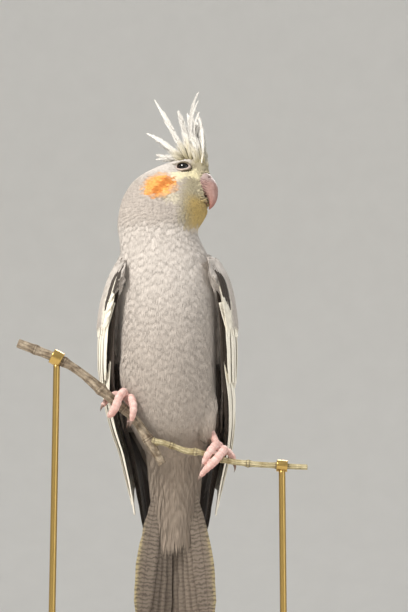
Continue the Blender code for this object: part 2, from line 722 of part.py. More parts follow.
def make_tail(materials, bird):
    """The tail: a fleshy root, six pairs of long feathers, and coverts over and under their roots."""
    turn = np.linspace(0, 2 * math.pi, 18, endpoint=False)
    rings = []
    for height, half, front, back in TAIL_CORE:
        lift = np.where(np.cos(turn) > 0, front, back) * -np.cos(turn)
        rings.append(tail_points(half * np.sin(turn), height, lift))
    tail = loft("tail", rings, materials["dark feather"], bird)
    feathers = []
    for number, (tip, aside_tip, aside_root) in enumerate(TAIL_PAIRS):
        for side in (-1, 1):
            part = np.linspace(0, 1, 6)
            height = TAIL_ROOT + (tip - TAIL_ROOT) * part
            aside = aside_root + (aside_tip - aside_root) * (1 - (1 - part) ** 1.7)
            level = 2 * number + (side > 0) if number < 3 else number + 3
            line = tail_points(side * aside, height, 2.4 - TAIL_PITCH * level)
            feathers.append(vane(line, (1.0, 0.0, 0.0), TAIL_HALF_WIDTH, FEATHER_THICKNESS, 0.2))
    for count, spread, root, tip, side, half, rise_tip in TAIL_COVERTS:
        for number in range(count):
            place = 2 * number / (count - 1) - 1
            part = np.linspace(0, 1, 4)
            height = root + (tip * (1 - 0.15 * abs(place)) - root) * part
            core = smooth_read(TAIL_CORE[::-1], height)
            round_off = math.sqrt(1 - min(0.9, (spread * place / core[0, 1]) ** 2))
            reach = core[:, 2] if side < 0 else core[:, 3]
            lift = side * (reach * round_off + np.interp(part, (0, 0.33, 1), (-1.6, 0.7, rise_tip)))
            line = tail_points(spread * place * (1 + 0.3 * part), height, lift)
            feathers.append(vane(line, (1.0, -0.5 * side * place, 0.0), half, FEATHER_THICKNESS))
    return apply_boolean(tail, parented(feathers, bird), "UNION")


# Each foot: where its ankle is, then its toes as stations of x, depth, height and radius
RIGHT_TOES = (
    (
        (-20.6, -15.6, 21.2, 1.9),
        (-20.9, -19.4, 22.8, 2.2),
        (-22.8, -24.0, 20.8, 1.95),
        (-24.2, -26.3, 16.9, 2.1),
        (-26.2, -25.4, 13.2, 1.8),
        (-27.4, -22.6, 12.0, 1.3),
    ),
    (
        (-19.6, -15.8, 20.2, 1.9),
        (-17.6, -19.6, 20.0, 2.1),
        (-16.4, -23.6, 18.2, 1.9),
        (-16.0, -25.9, 14.2, 1.8),
        (-16.8, -25.0, 10.2, 1.2),
    ),
    (
        (-21.0, -15.4, 20.6, 1.8),
        (-24.8, -14.8, 21.6, 1.7),
        (-28.4, -16.2, 19.6, 1.6),
        (-30.6, -19.0, 17.0, 1.2),
    ),
    (
        (-19.4, -15.6, 19.6, 1.8),
        (-17.6, -14.6, 16.0, 1.6),
        (-17.6, -15.2, 11.6, 1.5),
        (-18.4, -17.4, 8.6, 1.1),
    ),
)
LEFT_TOES = (
    (
        (24.2, -15.4, -3.8, 1.8),
        (23.8, -19.0, -2.4, 2.1),
        (22.0, -22.9, -3.4, 2.0),
        (19.4, -24.5, -6.8, 1.8),
        (17.6, -23.6, -10.4, 1.3),
    ),
    (
        (25.6, -15.8, -4.6, 1.8),
        (27.2, -19.6, -4.6, 2.1),
        (25.0, -24.0, -7.0, 2.0),
        (21.6, -25.3, -10.8, 1.95),
        (18.4, -24.8, -13.8, 1.6),
        (16.4, -23.4, -16.4, 1.2),
    ),
    (
        (25.4, -15.2, -5.0, 1.7),
        (28.8, -15.4, -5.6, 1.6),
        (31.4, -16.4, -8.6, 1.5),
        (32.2, -18.6, -11.6, 1.1),
    ),
    (
        (24.2, -15.2, -5.2, 1.7),
        (22.0, -14.6, -7.6, 1.6),
        (20.4, -15.6, -11.0, 1.4),
        (19.8, -17.8, -13.4, 1.1),
    ),
)


def twig_meshes(inflate):
    """The twig's two arms as closed tubes, thicker by a little for cutters."""
    arms = []
    for stations in (MAIN_TWIG, SIDE_TWIG):
        rows = [(x, depth, height, radius + inflate) for x, depth, height, radius in stations]
        arms.append(tube("twig arm", rows, 8, None, None, steps=1))
    return arms


# Each leg: hip, ankle, and the middle and radii of the feathered thigh over it
LEGS = {
    "right": (RIGHT_TOES, (-17.5, -11.0, 27.0), (-20.2, -14.6, 21.0), (-18.2, -15.4, 30.0), (5.8, 5.8, 10.5)),
    "left": (LEFT_TOES, (19.5, -11.5, 6.0), (24.4, -14.6, -3.4), (20.2, -13.6, 9.0), (5.6, 5.2, 11.5)),
}


def foot_pieces(side, inflate):
    """Closed meshes of one foot: its shank, its palm and its four toes."""
    toes, hip, ankle, _, _ = LEGS[side]
    hip, ankle = np.array(hip), np.array(ankle)
    shank = [(*(hip + (ankle - hip) * t), 2.1 - 0.4 * t + inflate) for t in (0.0, 0.5, 1.0)]
    pieces = [tube("shank", shank, 8)]
    for stations in toes:
        rows = [(x, depth, height, radius + inflate) for x, depth, height, radius in stations]
        pieces.append(tube("toe", rows, 7))
    radii = [radius + inflate for radius in PALM_RADII]
    pieces.append(ellipsoid("palm", ankle, radii, np.eye(3), 10, 6))
    return pieces


def make_legs(materials, bird, torso):
    """Feathered thighs at the belly, and feet with two toes over the twig and two behind it."""
    for side, (_, _, _, middle, radii) in LEGS.items():
        pieces = foot_pieces(side, 0.0)
        foot = pieces[0]
        foot.name = f"foot_{side}"
        foot.data.materials.append(materials["foot skin"])
        foot.parent = bird
        apply_boolean(foot, parented(pieces[1:], bird), "UNION")
        apply_boolean(foot, parented(twig_meshes(GAP), bird), "DIFFERENCE")
        apply_boolean(torso, parented(foot_pieces(side, GAP), bird), "DIFFERENCE")
        leg = ellipsoid(f"leg_{side}", middle, radii, np.eye(3), 16, 10, materials["grey feather"], bird)
        belly = body_loft("belly", BODY[0][0], TORSO_TOP, 17, None, None, None, GAP)
        cutters = [belly, *foot_pieces(side, GAP), *twig_meshes(GAP)]
        apply_boolean(leg, parented(cutters, bird), "DIFFERENCE")


def make_claws(materials, bird):
    """One horn claw on each toe, curling on the way the toe bends."""
    for side, (toes, *_) in LEGS.items():
        for number, stations in enumerate(toes, 1):
            before, last, end = (np.array(row[:3]) for row in stations[-3:])
            heading = (end - last) / np.linalg.norm(end - last)
            bend = heading - (last - before) / np.linalg.norm(last - before)
            bend -= heading * np.dot(bend, heading)
            bend /= np.linalg.norm(bend)
            root = stations[-1][3] * 0.8
            rows = []
            for reach in CLAW_REACHES:
                place = end + heading * (GAP + reach) + bend * (CLAW_CURL * reach * reach)
                rows.append((*place, root * (1 - reach / CLAW_TAPER)))
            tube(f"claw_{side}_{number}", rows, 7, materials["horn"], bird, steps=1)


def parented(pieces, parent):
    """The same meshes, hung from a parent."""
    for piece in pieces:
        piece.parent = parent
    return pieces


def make_stand(materials, bird):
    """A flat oval base with one rod up to each end of the twig."""
    turn = np.linspace(0, 2 * math.pi, 48, endpoint=False)
    rings = []
    for height, inset in ((0.0, 0.8), (0.8, 0.0), (BASE_THICKNESS - 1.5, 0.0), (BASE_THICKNESS, 1.5)):
        rings.append(
            np.column_stack(
                [
                    (BASE_HALF_LENGTH - inset) * np.cos(turn),
                    (BASE_HALF_WIDTH - inset) * np.sin(turn),
                    np.full(48, height),
                ]
            )
        )
    loft("stand_base", rings, materials["base wood"])
    bird_matrix = np.array(bird.matrix_world)
    for name, stations, spot in zip(("stand_rod_right", "stand_rod_left"), (MAIN_TWIG, SIDE_TWIG), ROD_SPOTS):
        twig = np.asarray(stations, float)
        at = int(np.argmin(abs(twig[:, 0] - spot)))
        middle, radius = twig[at, :3], twig[at, 3] + 1.5
        along = twig[at + 1, :3] - twig[at - 1, :3]
        along /= np.linalg.norm(along)
        foot = bird_matrix[:3, :3] @ middle + bird_matrix[:3, 3] / MM
        low, high = (*foot[:2], BASE_THICKNESS + GAP), (*foot[:2], foot[2])
        rod = tube(name, [(*low, ROD_RADIUS), (*high, ROD_RADIUS)], 12, materials["brass"], None, steps=1)
        collar = tube("collar", [(*(middle + along * t), radius) for t in (-2.6, 0, 2.6)], 16, None, bird)
        apply_boolean(rod, [collar], "UNION")
        apply_boolean(rod, parented(twig_meshes(GAP), bird), "DIFFERENCE")


def main():
    clear_scene()
    materials = {
        "grey feather": make_material("grey feather", "A79C92", 0.85),
        "pale feather": make_material("pale feather", "D8D2C8", 0.8),
        "dark feather": make_material("dark feather", "5E554E", 0.8),
        "eye": make_material("eye", "16110F", 0.08),
        "horn": make_material("horn", "A9837A", 0.45),
        "foot skin": make_material("foot skin", "D8A8A0", 0.55),
        "bark": make_material("bark", "9A8464", 0.8),
        "base wood": make_material("base wood", "5A3F2B", 0.5),
        "brass": make_material("brass", "B49A62", 0.3, 1.0),
    }
    bird = bpy.data.objects.new("bird", None)
    bpy.context.scene.collection.objects.link(bird)
    bird.location = (0, 0, PERCH_HEIGHT * MM)
    bird.rotation_euler = (LEAN, 0, 0)
    bpy.context.view_layer.update()

    torso = body_loft("torso", BODY[0][0], TORSO_TOP, 17, materials["grey feather"], bird)
    body_loft("neck", TORSO_TOP + GAP, NECK_TOP, 6, materials["grey feather"], bird)
    make_head(materials, bird)
    make_crest(materials, bird)
    make_wing("wing_right", -1, materials, bird)
    make_wing("wing_left", 1, materials, bird)
    make_tail(materials, bird)
    make_legs(materials, bird, torso)
    make_claws(materials, bird)
    twig, fork = twig_meshes(0.0)
    twig.name = "perch_twig"
    twig.data.materials.append(materials["bark"])
    twig.parent = bird
    fork.parent = bird
    apply_boolean(twig, [fork], "UNION")
    make_stand(materials, bird)
    for obj in bpy.data.objects:
        if obj.type == "MESH":
            shade(obj)


main()
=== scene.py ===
import math

import bpy
import numpy as np
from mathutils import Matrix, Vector
from mathutils.bvhtree import BVHTree
from mathutils.kdtree import KDTree


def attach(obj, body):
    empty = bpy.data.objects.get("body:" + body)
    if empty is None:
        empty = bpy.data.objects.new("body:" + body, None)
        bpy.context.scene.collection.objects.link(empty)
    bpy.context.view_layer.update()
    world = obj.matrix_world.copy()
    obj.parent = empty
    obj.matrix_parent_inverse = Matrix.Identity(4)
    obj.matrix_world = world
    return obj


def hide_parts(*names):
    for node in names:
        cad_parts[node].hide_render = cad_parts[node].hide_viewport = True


# Looks of a cockatiel gripping a cut twig, life size, on a plain display stand.
# The bird is laid out in its own frame, as in the part's source: x towards its left wing, depth towards its
# back and height along its body, in millimetres. Every mesh is placed in the model's frame, in metres.

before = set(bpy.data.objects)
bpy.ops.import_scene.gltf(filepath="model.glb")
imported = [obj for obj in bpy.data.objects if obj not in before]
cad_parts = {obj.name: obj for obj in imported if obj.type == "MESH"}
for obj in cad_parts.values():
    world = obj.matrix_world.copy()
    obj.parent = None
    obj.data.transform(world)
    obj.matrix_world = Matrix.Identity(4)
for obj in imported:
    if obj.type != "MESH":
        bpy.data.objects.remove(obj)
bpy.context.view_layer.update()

MM = 0.001
LEAN = math.radians(13)
PERCH_HEIGHT = 175.0

# Rings of the body: height, middle x and depth, half width, reach to the front and to the back, turn, tip
BODY = (
    (-8.0, 3.6, 0.5, 14.6, 12.5, 12.5, 0, 0),
    (0.0, 2.7, 0.0, 18.4, 17.5, 15.5, 0, 0),
    (8.3, 1.8, 0.0, 22.0, 22.0, 18.5, 0, 0),
    (18.1, 0.7, 0.0, 24.2, 25.5, 21.0, 0, 0),
    (32.8, -0.2, 0.0, 24.9, 28.5, 23.5, 0, 0),
    (47.5, -0.2, 0.0, 24.9, 29.0, 25.0, 0, 0),
    (62.2, -0.2, 0.0, 24.7, 27.8, 25.0, 0, 0),
    (76.9, -0.2, -0.4, 23.8, 24.5, 23.4, 0, 0),
    (85.8, -1.2, -0.8, 22.2, 21.4, 21.2, 0, 0),
    (93.0, -3.0, -1.4, 20.6, 18.4, 18.8, 4, 2),
    (97.0, -4.2, -1.8, 19.8, 17.2, 17.6, 7, 5),
    (101.4, -5.2, -2.2, 19.9, 16.0, 16.6, 10, 8),
    (106.5, -3.6, -2.4, 21.4, 14.9, 15.6, 14, 14),
    (111.0, -2.2, -1.8, 22.4, 14.2, 14.8, 17, 19),
    (115.5, -1.7, -0.2, 21.7, 13.6, 14.0, 18, 22),
    (119.8, -0.7, 1.6, 20.5, 13.0, 13.2, 18, 22),
    (123.8, 1.0, 3.2, 19.3, 12.0, 12.2, 18, 22),
    (127.4, 3.7, 4.6, 17.0, 10.8, 11.0, 18, 22),
    (130.4, 6.6, 5.8, 14.1, 9.2, 9.4, 18, 22),
    (132.8, 9.1, 6.8, 11.1, 7.2, 7.4, 18, 22),
    (134.6, 11.0, 7.5, 7.8, 5.0, 5.1, 18, 22),
)
HEAD_HEIGHT = 119.8
GAP = 0.35

# The coat's depth over the skin: height, depth
COAT_DEPTH = ((-50, 1.1), (0, 1.1), (40, 0.85), (95, 0.75), (110, 0.6), (135, 0.5))
THIGH_COAT_DEPTH = 1.0
TAIL_SKIN_DEPTH = 1.2
SKIN_VOXEL = 0.7

# Eye, in the head's frame: place, radius, and the half length and half height between the lids
EYE_FORWARD = 9.8
EYE_UP = 9.9
EYE_APART = 6.2
EYE_RADIUS = 3.6
EYE_OPENING = (3.1, 1.95)

# Crest feathers in the head's frame: root forward and up, aside, middle, tip, half width
CREST = (
    ((6.5, 15.2), -1.6, (-0.5, 18.0), (-6.2, 19.2), 1.3),
    ((6.5, 15.6), 1.4, (-1.0, 18.8), (-8.0, 19.4), 1.3),
    ((8.0, 16.0), -0.6, (-3.5, 26.0), (-13.7, 32.2), 1.2),
    ((8.0, 16.0), 1.8, (-1.8, 25.0), (-10.0, 29.5), 1.3),
    ((9.5, 16.2), 0.4, (-2.5, 35.5), (-13.1, 51.6), 1.15),
    ((9.5, 16.2), -1.8, (2.6, 28.0), (-4.2, 36.6), 1.1),
    ((11.0, 16.6), 1.6, (5.4, 32.5), (-0.4, 45.3), 1.9),
    ((11.5, 16.6), -1.0, (7.2, 29.5), (2.8, 38.1), 1.6),
    ((13.0, 16.6), 0.2, (9.2, 32.0), (5.3, 42.8), 1.5),
    ((14.5, 16.4), -1.6, (8.4, 35.5), (10.3, 53.5), 1.1),
    ((14.5, 16.4), 1.4, (11.4, 31.0), (7.9, 41.4), 1.3),
    ((16.4, 15.0), 0.6, (14.6, 31.0), (9.6, 44.7), 1.2),
    ((17.2, 14.6), -1.4, (15.6, 28.0), (12.4, 40.2), 1.2),
    ((12.5, 16.2), -2.6, (9.9, 25.0), (6.4, 30.0), 1.4),
    ((15.0, 15.8), -2.7, (13.6, 24.0), (10.8, 28.7), 1.4),
    ((11.8, 16.4), 2.8, (8.7, 27.0), (4.9, 34.0), 1.4),
    ((15.8, 15.4), 2.2, (14.2, 25.0), (11.9, 31.3), 1.3),
)
CREST_PAD = ((11.6, 0.0, 15.0), (7.0, 4.0, 3.0))

# Bill, in the head's frame: forward, up, half height, half width
UPPER_BILL = (
    (15.5, 3.6, 5.6, 5.0),
    (19.0, 3.0, 5.8, 5.3),
    (21.9, 0.9, 4.6, 4.4),
    (23.6, -1.8, 3.0, 3.3),
    (24.2, -4.6, 2.0, 2.2),
    (23.9, -7.2, 1.15, 1.2),
    (23.0, -9.5, 0.3, 0.3),
)
LOWER_BILL = (
    (15.0, -6.6, 2.8, 4.2),
    (18.0, -6.6, 2.4, 3.9),
    (20.0, -5.6, 1.6, 3.2),
    (20.9, -4.4, 0.5, 2.4),
)
SOFT_BASE = ((19.4, 0.0, 6.6), (3.4, 4.3, 3.0))
NOSTRIL = ((22.0, 2.5, 6.2), (0.95, 0.8, 0.8))

# Wings, as the outer face of the folded feathers: height, half width, reach to the back, middle depth
WING_FACE = (
    (-82.0, 8.5, 5.0, 12.5),
    (-70.0, 12.6, 6.0, 11.5),
    (-55.0, 17.4, 8.0, 10.0),
    (-40.7, 20.9, 10.5, 8.5),
    (-30.9, 22.6, 12.5, 7.0),
    (-21.6, 24.4, 15.0, 5.5),
    (-11.3, 26.9, 18.0, 4.0),
    (-1.5, 29.4, 21.0, 2.5),
    (5.9, 31.2, 23.5, 1.5),
    (18.1, 33.0, 26.5, 0.5),
    (32.8, 34.3, 29.0, 0.0),
    (47.5, 34.6, 30.5, 0.0),
    (57.0, 34.0, 30.6, 0.0),
    (67.0, 32.4, 30.0, 0.0),
    (76.9, 29.4, 28.4, -0.2),
    (83.0, 26.2, 26.0, -0.6),
    (88.0, 22.8, 23.4, -0.8),
)
WING_FRONT_REACH = 32.0
LEFT_SHOULDER_RISE = 3.0

# Thickness of a folded wing where the body doesn't fill it: height, thickness
WING_THICKNESS = ((-82, 5.2), (-60, 5.6), (-40, 6.0), (-20, 6.8), (0, 8.0), (20, 9.5), (88, 9.5))

# How much of that thickness lies outside the wing's fleshy arm: height, share
WING_ARM_FACE = ((0, 0.68), (12, 0.62), (40, 0.54), (60, 0.46), (78, 0.36), (88, 0.2))

# Edges of that arm, which reaches forward to the breast at the shoulder, and how full it is: height, and an
# angle in degrees or a share
WING_ARM_FRONT = ((0, 74), (60, 66), (70, 62), (79, 46), (87, 52))
WING_ARM_BACK = ((0, 168), (30, 168), (60, 160), (88, 136))
WING_ARM_FULLNESS = ((2, 0.3), (14, 1), (80, 1), (88, 0.6))

TAIL_MIDDLE_X = 3.4

# Fleshy root of the tail: height, half width, reach to the front and to the back
TAIL_CORE = (
    (-2.0, 14.6, 12.4, 12.4),
    (-8.4, 14.2, 12.0, 12.2),
    (-16.0, 13.2, 9.4, 10.0),
    (-26.0, 11.8, 6.0, 6.6),
    (-36.0, 10.2, 3.6, 3.8),
    (-47.0, 8.0, 1.4, 1.4),
)

# Pairs of tail feathers from the middle out: height of the tip, reach to the side at the tip and at the root
TAIL_PAIRS = (
    (-163.0, 1.7, 1.3),
    (-147.0, 5.2, 2.7),
    (-131.0, 8.8, 4.1),
    (-117.0, 12.0, 5.5),
    (-105.0, 14.6, 6.8),
    (-95.0, 16.6, 8.0),
)
TAIL_ROOT = -24.0
TAIL_HALF_WIDTH = 5.6
TAIL_PITCH = 0.85

# Feathered thighs: middle and radii
THIGHS = (((-17.2, -14.0, 33.0), (6.2, 6.4, 14.0)), ((18.8, -11.2, 12.0), (6.0, 6.4, 15.0)))

# Twig, through its middle line: x, depth, height, radius
MAIN_TWIG = (
    (-71.5, -20.6, 46.5, 2.2),
    (-62.0, -20.4, 42.8, 2.2),
    (-52.9, -20.6, 39.2, 2.2),
    (-40.7, -20.9, 31.8, 2.1),
    (-33.3, -20.8, 25.6, 2.5),
    (-25.5, -20.8, 18.8, 2.2),
    (-19.6, -20.9, 13.9, 2.1),
    (-14.2, -21.2, 8.3, 2.1),
    (-9.6, -21.4, 1.2, 2.4),
    (-5.4, -21.8, -5.8, 2.0),
    (-2.2, -22.4, -11.4, 1.9),
)
SIDE_TWIG = (
    (-10.6, -21.4, 2.4, 1.3),
    (-7.2, -21.9, -0.5, 1.7),
    (-2.5, -21.8, -1.1, 1.4),
    (2.9, -21.3, -2.9, 1.3),
    (9.8, -21.0, -5.3, 1.5),
    (15.7, -21.0, -5.9, 1.3),
    (21.6, -21.0, -7.8, 1.3),
    (28.4, -21.0, -9.8, 1.4),
    (40.2, -21.2, -11.3, 1.4),
    (54.9, -21.4, -12.3, 1.35),
    (67.1, -21.8, -12.9, 1.3),
)

# Toes of each foot, as stations of x, depth, height and radius
RIGHT_TOES = (
    (
        (-20.6, -15.6, 21.2, 1.9),
        (-20.9, -19.4, 22.8, 2.2),
        (-22.8, -24.0, 20.8, 1.95),
        (-24.2, -26.3, 16.9, 2.1),
        (-26.2, -25.4, 13.2, 1.8),
        (-27.4, -22.6, 12.0, 1.3),
    ),
    (
        (-19.6, -15.8, 20.2, 1.9),
        (-17.6, -19.6, 20.0, 2.1),
        (-16.4, -23.6, 18.2, 1.9),
        (-16.0, -25.9, 14.2, 1.8),
        (-16.8, -25.0, 10.2, 1.2),
    ),
    (
        (-21.0, -15.4, 20.6, 1.8),
        (-24.8, -14.8, 21.6, 1.7),
        (-28.4, -16.2, 19.6, 1.6),
        (-30.6, -19.0, 17.0, 1.2),
    ),
    (
        (-19.4, -15.6, 19.6, 1.8),
        (-17.6, -14.6, 16.0, 1.6),
        (-17.6, -15.2, 11.6, 1.5),
        (-18.4, -17.4, 8.6, 1.1),
    ),
)
LEFT_TOES = (
    (
        (24.2, -15.4, -3.8, 1.8),
        (23.8, -19.0, -2.4, 2.1),
        (22.0, -22.9, -3.4, 2.0),
        (19.4, -24.5, -6.8, 1.8),
        (17.6, -23.6, -10.4, 1.3),
    ),
    (
        (25.6, -15.8, -4.6, 1.8),
        (27.2, -19.6, -4.6, 2.1),
        (25.0, -24.0, -7.0, 2.0),
        (21.6, -25.3, -10.8, 1.95),
        (18.4, -24.8, -13.8, 1.6),
        (16.4, -23.4, -16.4, 1.2),
    ),
    (
        (25.4, -15.2, -5.0, 1.7),
        (28.8, -15.4, -5.6, 1.6),
        (31.4, -16.4, -8.6, 1.5),
        (32.2, -18.6, -11.6, 1.1),
    ),
    (
        (24.2, -15.2, -5.2, 1.7),
        (22.0, -14.6, -7.6, 1.6),
        (20.4, -15.6, -11.0, 1.4),
        (19.8, -17.8, -13.4, 1.1),
    ),
)

# Feet: hip and ankle, then the toes
FEET = {
    "right": (((-17.5, -11.0, 27.0), (-20.2, -14.6, 21.0)), RIGHT_TOES),
    "left": (((19.5, -11.5, 6.0), (24.4, -14.6, -3.4)), LEFT_TOES),
}
CLAW_CURL = 0.07

# Stand
BASE_HALF_LENGTH = 78.0
BASE_HALF_WIDTH = 60.0
BASE_THICKNESS = 12.0
ROD_RADIUS = 1.6
ROD_SPOTS = (-52.9, 54.9)
COLLAR_REACH = 2.6

# Foot of a rod on the base: rise, radius
ROD_FOOT = ((0.0, 4.2), (0.9, 4.0), (1.4, 3.0), (2.6, 2.3), (4.0, 1.75))

# Edge of the base from its underside to its top: inset, height
BASE_PROFILE = (
    (1.4, 0.0),
    (0.5, 0.25),
    (0.0, 0.9),
    (0.0, 2.6),
    (0.35, 3.3),
    (1.2, 3.7),
    (1.5, 4.2),
    (1.6, 5.4),
    (1.9, 7.2),
    (2.6, 9.0),
    (3.8, 10.5),
    (5.4, 11.5),
    (7.2, 11.95),
    (9.5, 12.0),
)


# Shapes of the bird, as in the part's source


def smooth_read(table, at):
    """The columns of a table of stations at a height, by a smooth curve through its rows."""
    rows = np.asarray(table, float)
    knots = rows[:, 0]
    slopes = np.gradient(rows, knots, axis=0)
    at = np.clip(np.atleast_1d(np.asarray(at, float)), knots[0], knots[-1])
    low = np.clip(np.searchsorted(knots, at) - 1, 0, len(knots) - 2)
    gap = (knots[low + 1] - knots[low])[:, None]
    t = (at - knots[low])[:, None] / gap
    return (
        rows[low] * (1 + 2 * t) * (1 - t) ** 2
        + rows[low + 1] * t * t * (3 - 2 * t)
        + slopes[low] * gap * t * (1 - t) ** 2
        - slopes[low + 1] * gap * t * t * (1 - t)
    )


def ring_axes(turn, tip):
    """Unit vectors of a ring: to the bill side, to the back, and up along the body."""
    turn, tip = np.radians(turn), np.radians(tip)
    flat = np.zeros_like(turn)
    side = np.stack([np.cos(turn), -np.sin(turn), flat], -1)
    level_back = np.stack([np.sin(turn), np.cos(turn), flat], -1)
    level_up = np.stack([flat, flat, flat + 1], -1)
    cos, sin = np.cos(tip)[..., None], np.sin(tip)[..., None]
    return side, level_back * cos - level_up * sin, level_up * cos + level_back * sin


def body_points(angle, height, lift=0.0):
    """Points of the body's surface. Angle 0 faces the front, 90 degrees the bill side, 180 the back."""
    angle, height, lift = np.broadcast_arrays(*(np.asarray(v, float) for v in (angle, height, lift)))
    shape = angle.shape
    angle, height, lift = angle.ravel(), height.ravel(), lift.ravel()
    rows = smooth_read(BODY, height)
    side, back, _ = ring_axes(rows[:, 6], rows[:, 7])
    reach = np.where(np.cos(angle) > 0, rows[:, 4], rows[:, 5])
    middle = np.stack([rows[:, 1], rows[:, 2], rows[:, 0]], -1)
    across = ((rows[:, 3] + lift) * np.sin(angle))[:, None] * side
    along = ((reach + lift) * np.cos(angle))[:, None] * back
    return (middle + across - along).reshape(*shape, 3)


def head_frame():
    """Matrix of the head: x to the bill, y out of its left cheek, z to the crown."""
    row = smooth_read(BODY, HEAD_HEIGHT)[0]
    axes = ring_axes(row[6], row[7])
    matrix = np.eye(4)
    for column, axis in enumerate(axes):
        matrix[:3, column] = axis
    matrix[:3, 3] = (row[1], row[2], row[0])
    return matrix


HEAD = head_frame()


def from_head(points):
    """Points of the head's frame, in the bird's frame."""
    return np.asarray(points, float) @ HEAD[:3, :3].T + HEAD[:3, 3]


def to_head(points):
    """Points of the bird's frame, in the head's frame."""
    return (np.asarray(points, float) - HEAD[:3, 3]) @ HEAD[:3, :3]


def wing_points(side, angle, height, sink):
    """Points under a folded wing's outer face, by how deep they lie. Angle 90 degrees is straight out."""
    angle, height, sink = np.broadcast_arrays(*(np.asarray(v, float) for v in (angle, height, sink)))
    shape = angle.shape
    angle, height, sink = angle.ravel(), height.ravel(), sink.ravel()
    raised = LEFT_SHOULDER_RISE * np.clip((height - 55) / 25, 0, 1) if side > 0 else 0.0
    face = smooth_read(WING_FACE, height - raised)
    middle_x = smooth_read(BODY, np.maximum(height, BODY[0][0]))[:, 1]
    middle_x = np.clip(middle_x, -0.5, TAIL_MIDDLE_X)
    reach = np.where(np.cos(angle) > 0, np.minimum(WING_FRONT_REACH, face[:, 1]), face[:, 2])
    x = middle_x + side * (face[:, 1] - sink) * np.sin(angle)
    depth = face[:, 3] - (reach - sink) * np.cos(angle)
    return np.stack([x, depth, height], -1).reshape(*shape, 3)


def clear_of_body(points, lift):
    """Pushes points that lie within the torso, or closer to it than a lift, straight out from its middle."""
    flat = points.reshape(-1, 3).copy()
    rows = smooth_read(BODY, flat[:, 2])
    away_x, away_depth = flat[:, 0] - rows[:, 1], flat[:, 1] - rows[:, 2]
    reach = np.where(away_depth < 0, rows[:, 4], rows[:, 5]) + lift
    share = np.hypot(away_x / (rows[:, 3] + lift), away_depth / reach)
    push = np.where((share < 1) & (flat[:, 2] > BODY[0][0]), 1 / np.maximum(share, 0.05), 1.0)
    flat[:, 0] = rows[:, 1] + away_x * push
    flat[:, 1] = rows[:, 2] + away_depth * push
    return flat.reshape(points.shape)


def in_wing(side, angle, height, share):
    """Points within a folded wing: a share of 0 lies on its outer face and 1 on its inner face."""
    angle, height, share = np.broadcast_arrays(*(np.asarray(v, float) for v in (angle, height, share)))
    thickness = np.interp(height, *zip(*WING_THICKNESS))
    outer = wing_points(side, angle, height, 0.0)
    inner = clear_of_body(wing_points(side, angle, height, thickness), GAP + 0.1)
    return outer + (inner - outer) * share[..., None]


def tail_points(aside, height, lift):
    """Points of the tail's middle sheet, raised towards the back by a lift."""
    aside, height, lift = np.broadcast_arrays(*(np.asarray(v, float) for v in (aside, height, lift)))
    return np.stack([TAIL_MIDDLE_X + aside, 1.5 - 0.07 * (height + 8) + lift, height], -1)


# Mesh code


def unit(vectors):
    """Vectors scaled to length one."""
    return vectors / np.maximum(np.linalg.norm(vectors, axis=-1, keepdims=True), 1e-9)


def smooth_step(value, low, high):
    """Rises softly from 0 at low to 1 at high."""
    t = np.clip((np.asarray(value, float) - low) / (high - low), 0, 1)
    return t * t * (3 - 2 * t)


def placed(points):
    """Points of the bird's frame, in millimetres, in the model's frame, in metres."""
    x, depth, height = np.moveaxis(np.asarray(points, float), -1, 0)
    cos, sin = math.cos(LEAN), math.sin(LEAN)
    return np.stack([x, depth * cos - height * sin, PERCH_HEIGHT + depth * sin + height * cos], -1) * MM


def fill_mesh(mesh, points, faces, smooth=True):
    """Fills a mesh from an array of points and a list of face arrays, each with one count of corners."""
    faces = [np.asarray(group, np.int32) for group in faces if len(group)]
    corners = np.concatenate([group.ravel() for group in faces])
    sizes = np.concatenate([np.full(len(group), group.shape[1]) for group in faces])
    starts = np.concatenate([[0], np.cumsum(sizes)[:-1]])
    mesh.vertices.add(len(points))
    mesh.vertices.foreach_set("co", np.asarray(points, np.float32).ravel())
    mesh.loops.add(len(corners))
    mesh.loops.foreach_set("vertex_index", corners)
    mesh.polygons.add(len(sizes))
    mesh.polygons.foreach_set("loop_start", starts.astype(np.int32))
    mesh.polygons.foreach_set("use_smooth", np.full(len(sizes), smooth))
    mesh.update(calc_edges=True)
    mesh.validate()
    return corners


def outward(points, faces):
    """The same faces, turned to point out of a closed shape."""
    volume = 0.0
    for group in faces:
        corner = [points[group[:, i]] for i in range(group.shape[1])]
        for i in range(1, group.shape[1] - 1):
            volume += np.einsum("ij,ij->", corner[0], np.cross(corner[i], corner[i + 1]))
    return [group[:, ::-1] for group in faces] if volume < 0 else faces


def make_piece(name, points, faces, material, layers=None, maps=None, in_bird=True, smooth=True):
    """A finished mesh object at the origin, with its named point attributes and UV maps."""
    mesh = bpy.data.meshes.new(name)
    faces = outward(np.asarray(points, float), faces)
    corners = fill_mesh(mesh, placed(points) if in_bird else np.asarray(points) * MM, faces, smooth)
    for label, values in (maps or {}).items():
        uv_map = mesh.uv_layers.new(name=label)
        uv_map.data.foreach_set("uv", np.asarray(values, np.float32)[corners].ravel())
    for label, values in (layers or {}).items():
        layer = mesh.attributes.new(label, "FLOAT", "POINT")
        layer.data.foreach_set("value", np.asarray(values, np.float32).ravel())
    mesh.materials.append(material)
    obj = bpy.data.objects.new(name, mesh)
    bpy.context.scene.collection.objects.link(obj)
    return obj


def finish_piece(obj, slot_name, *nodes):
    """Rides a piece on the model, and hides the solids that it stands for."""
    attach(obj, "root")
    if nodes:
        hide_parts(*nodes)
    return obj


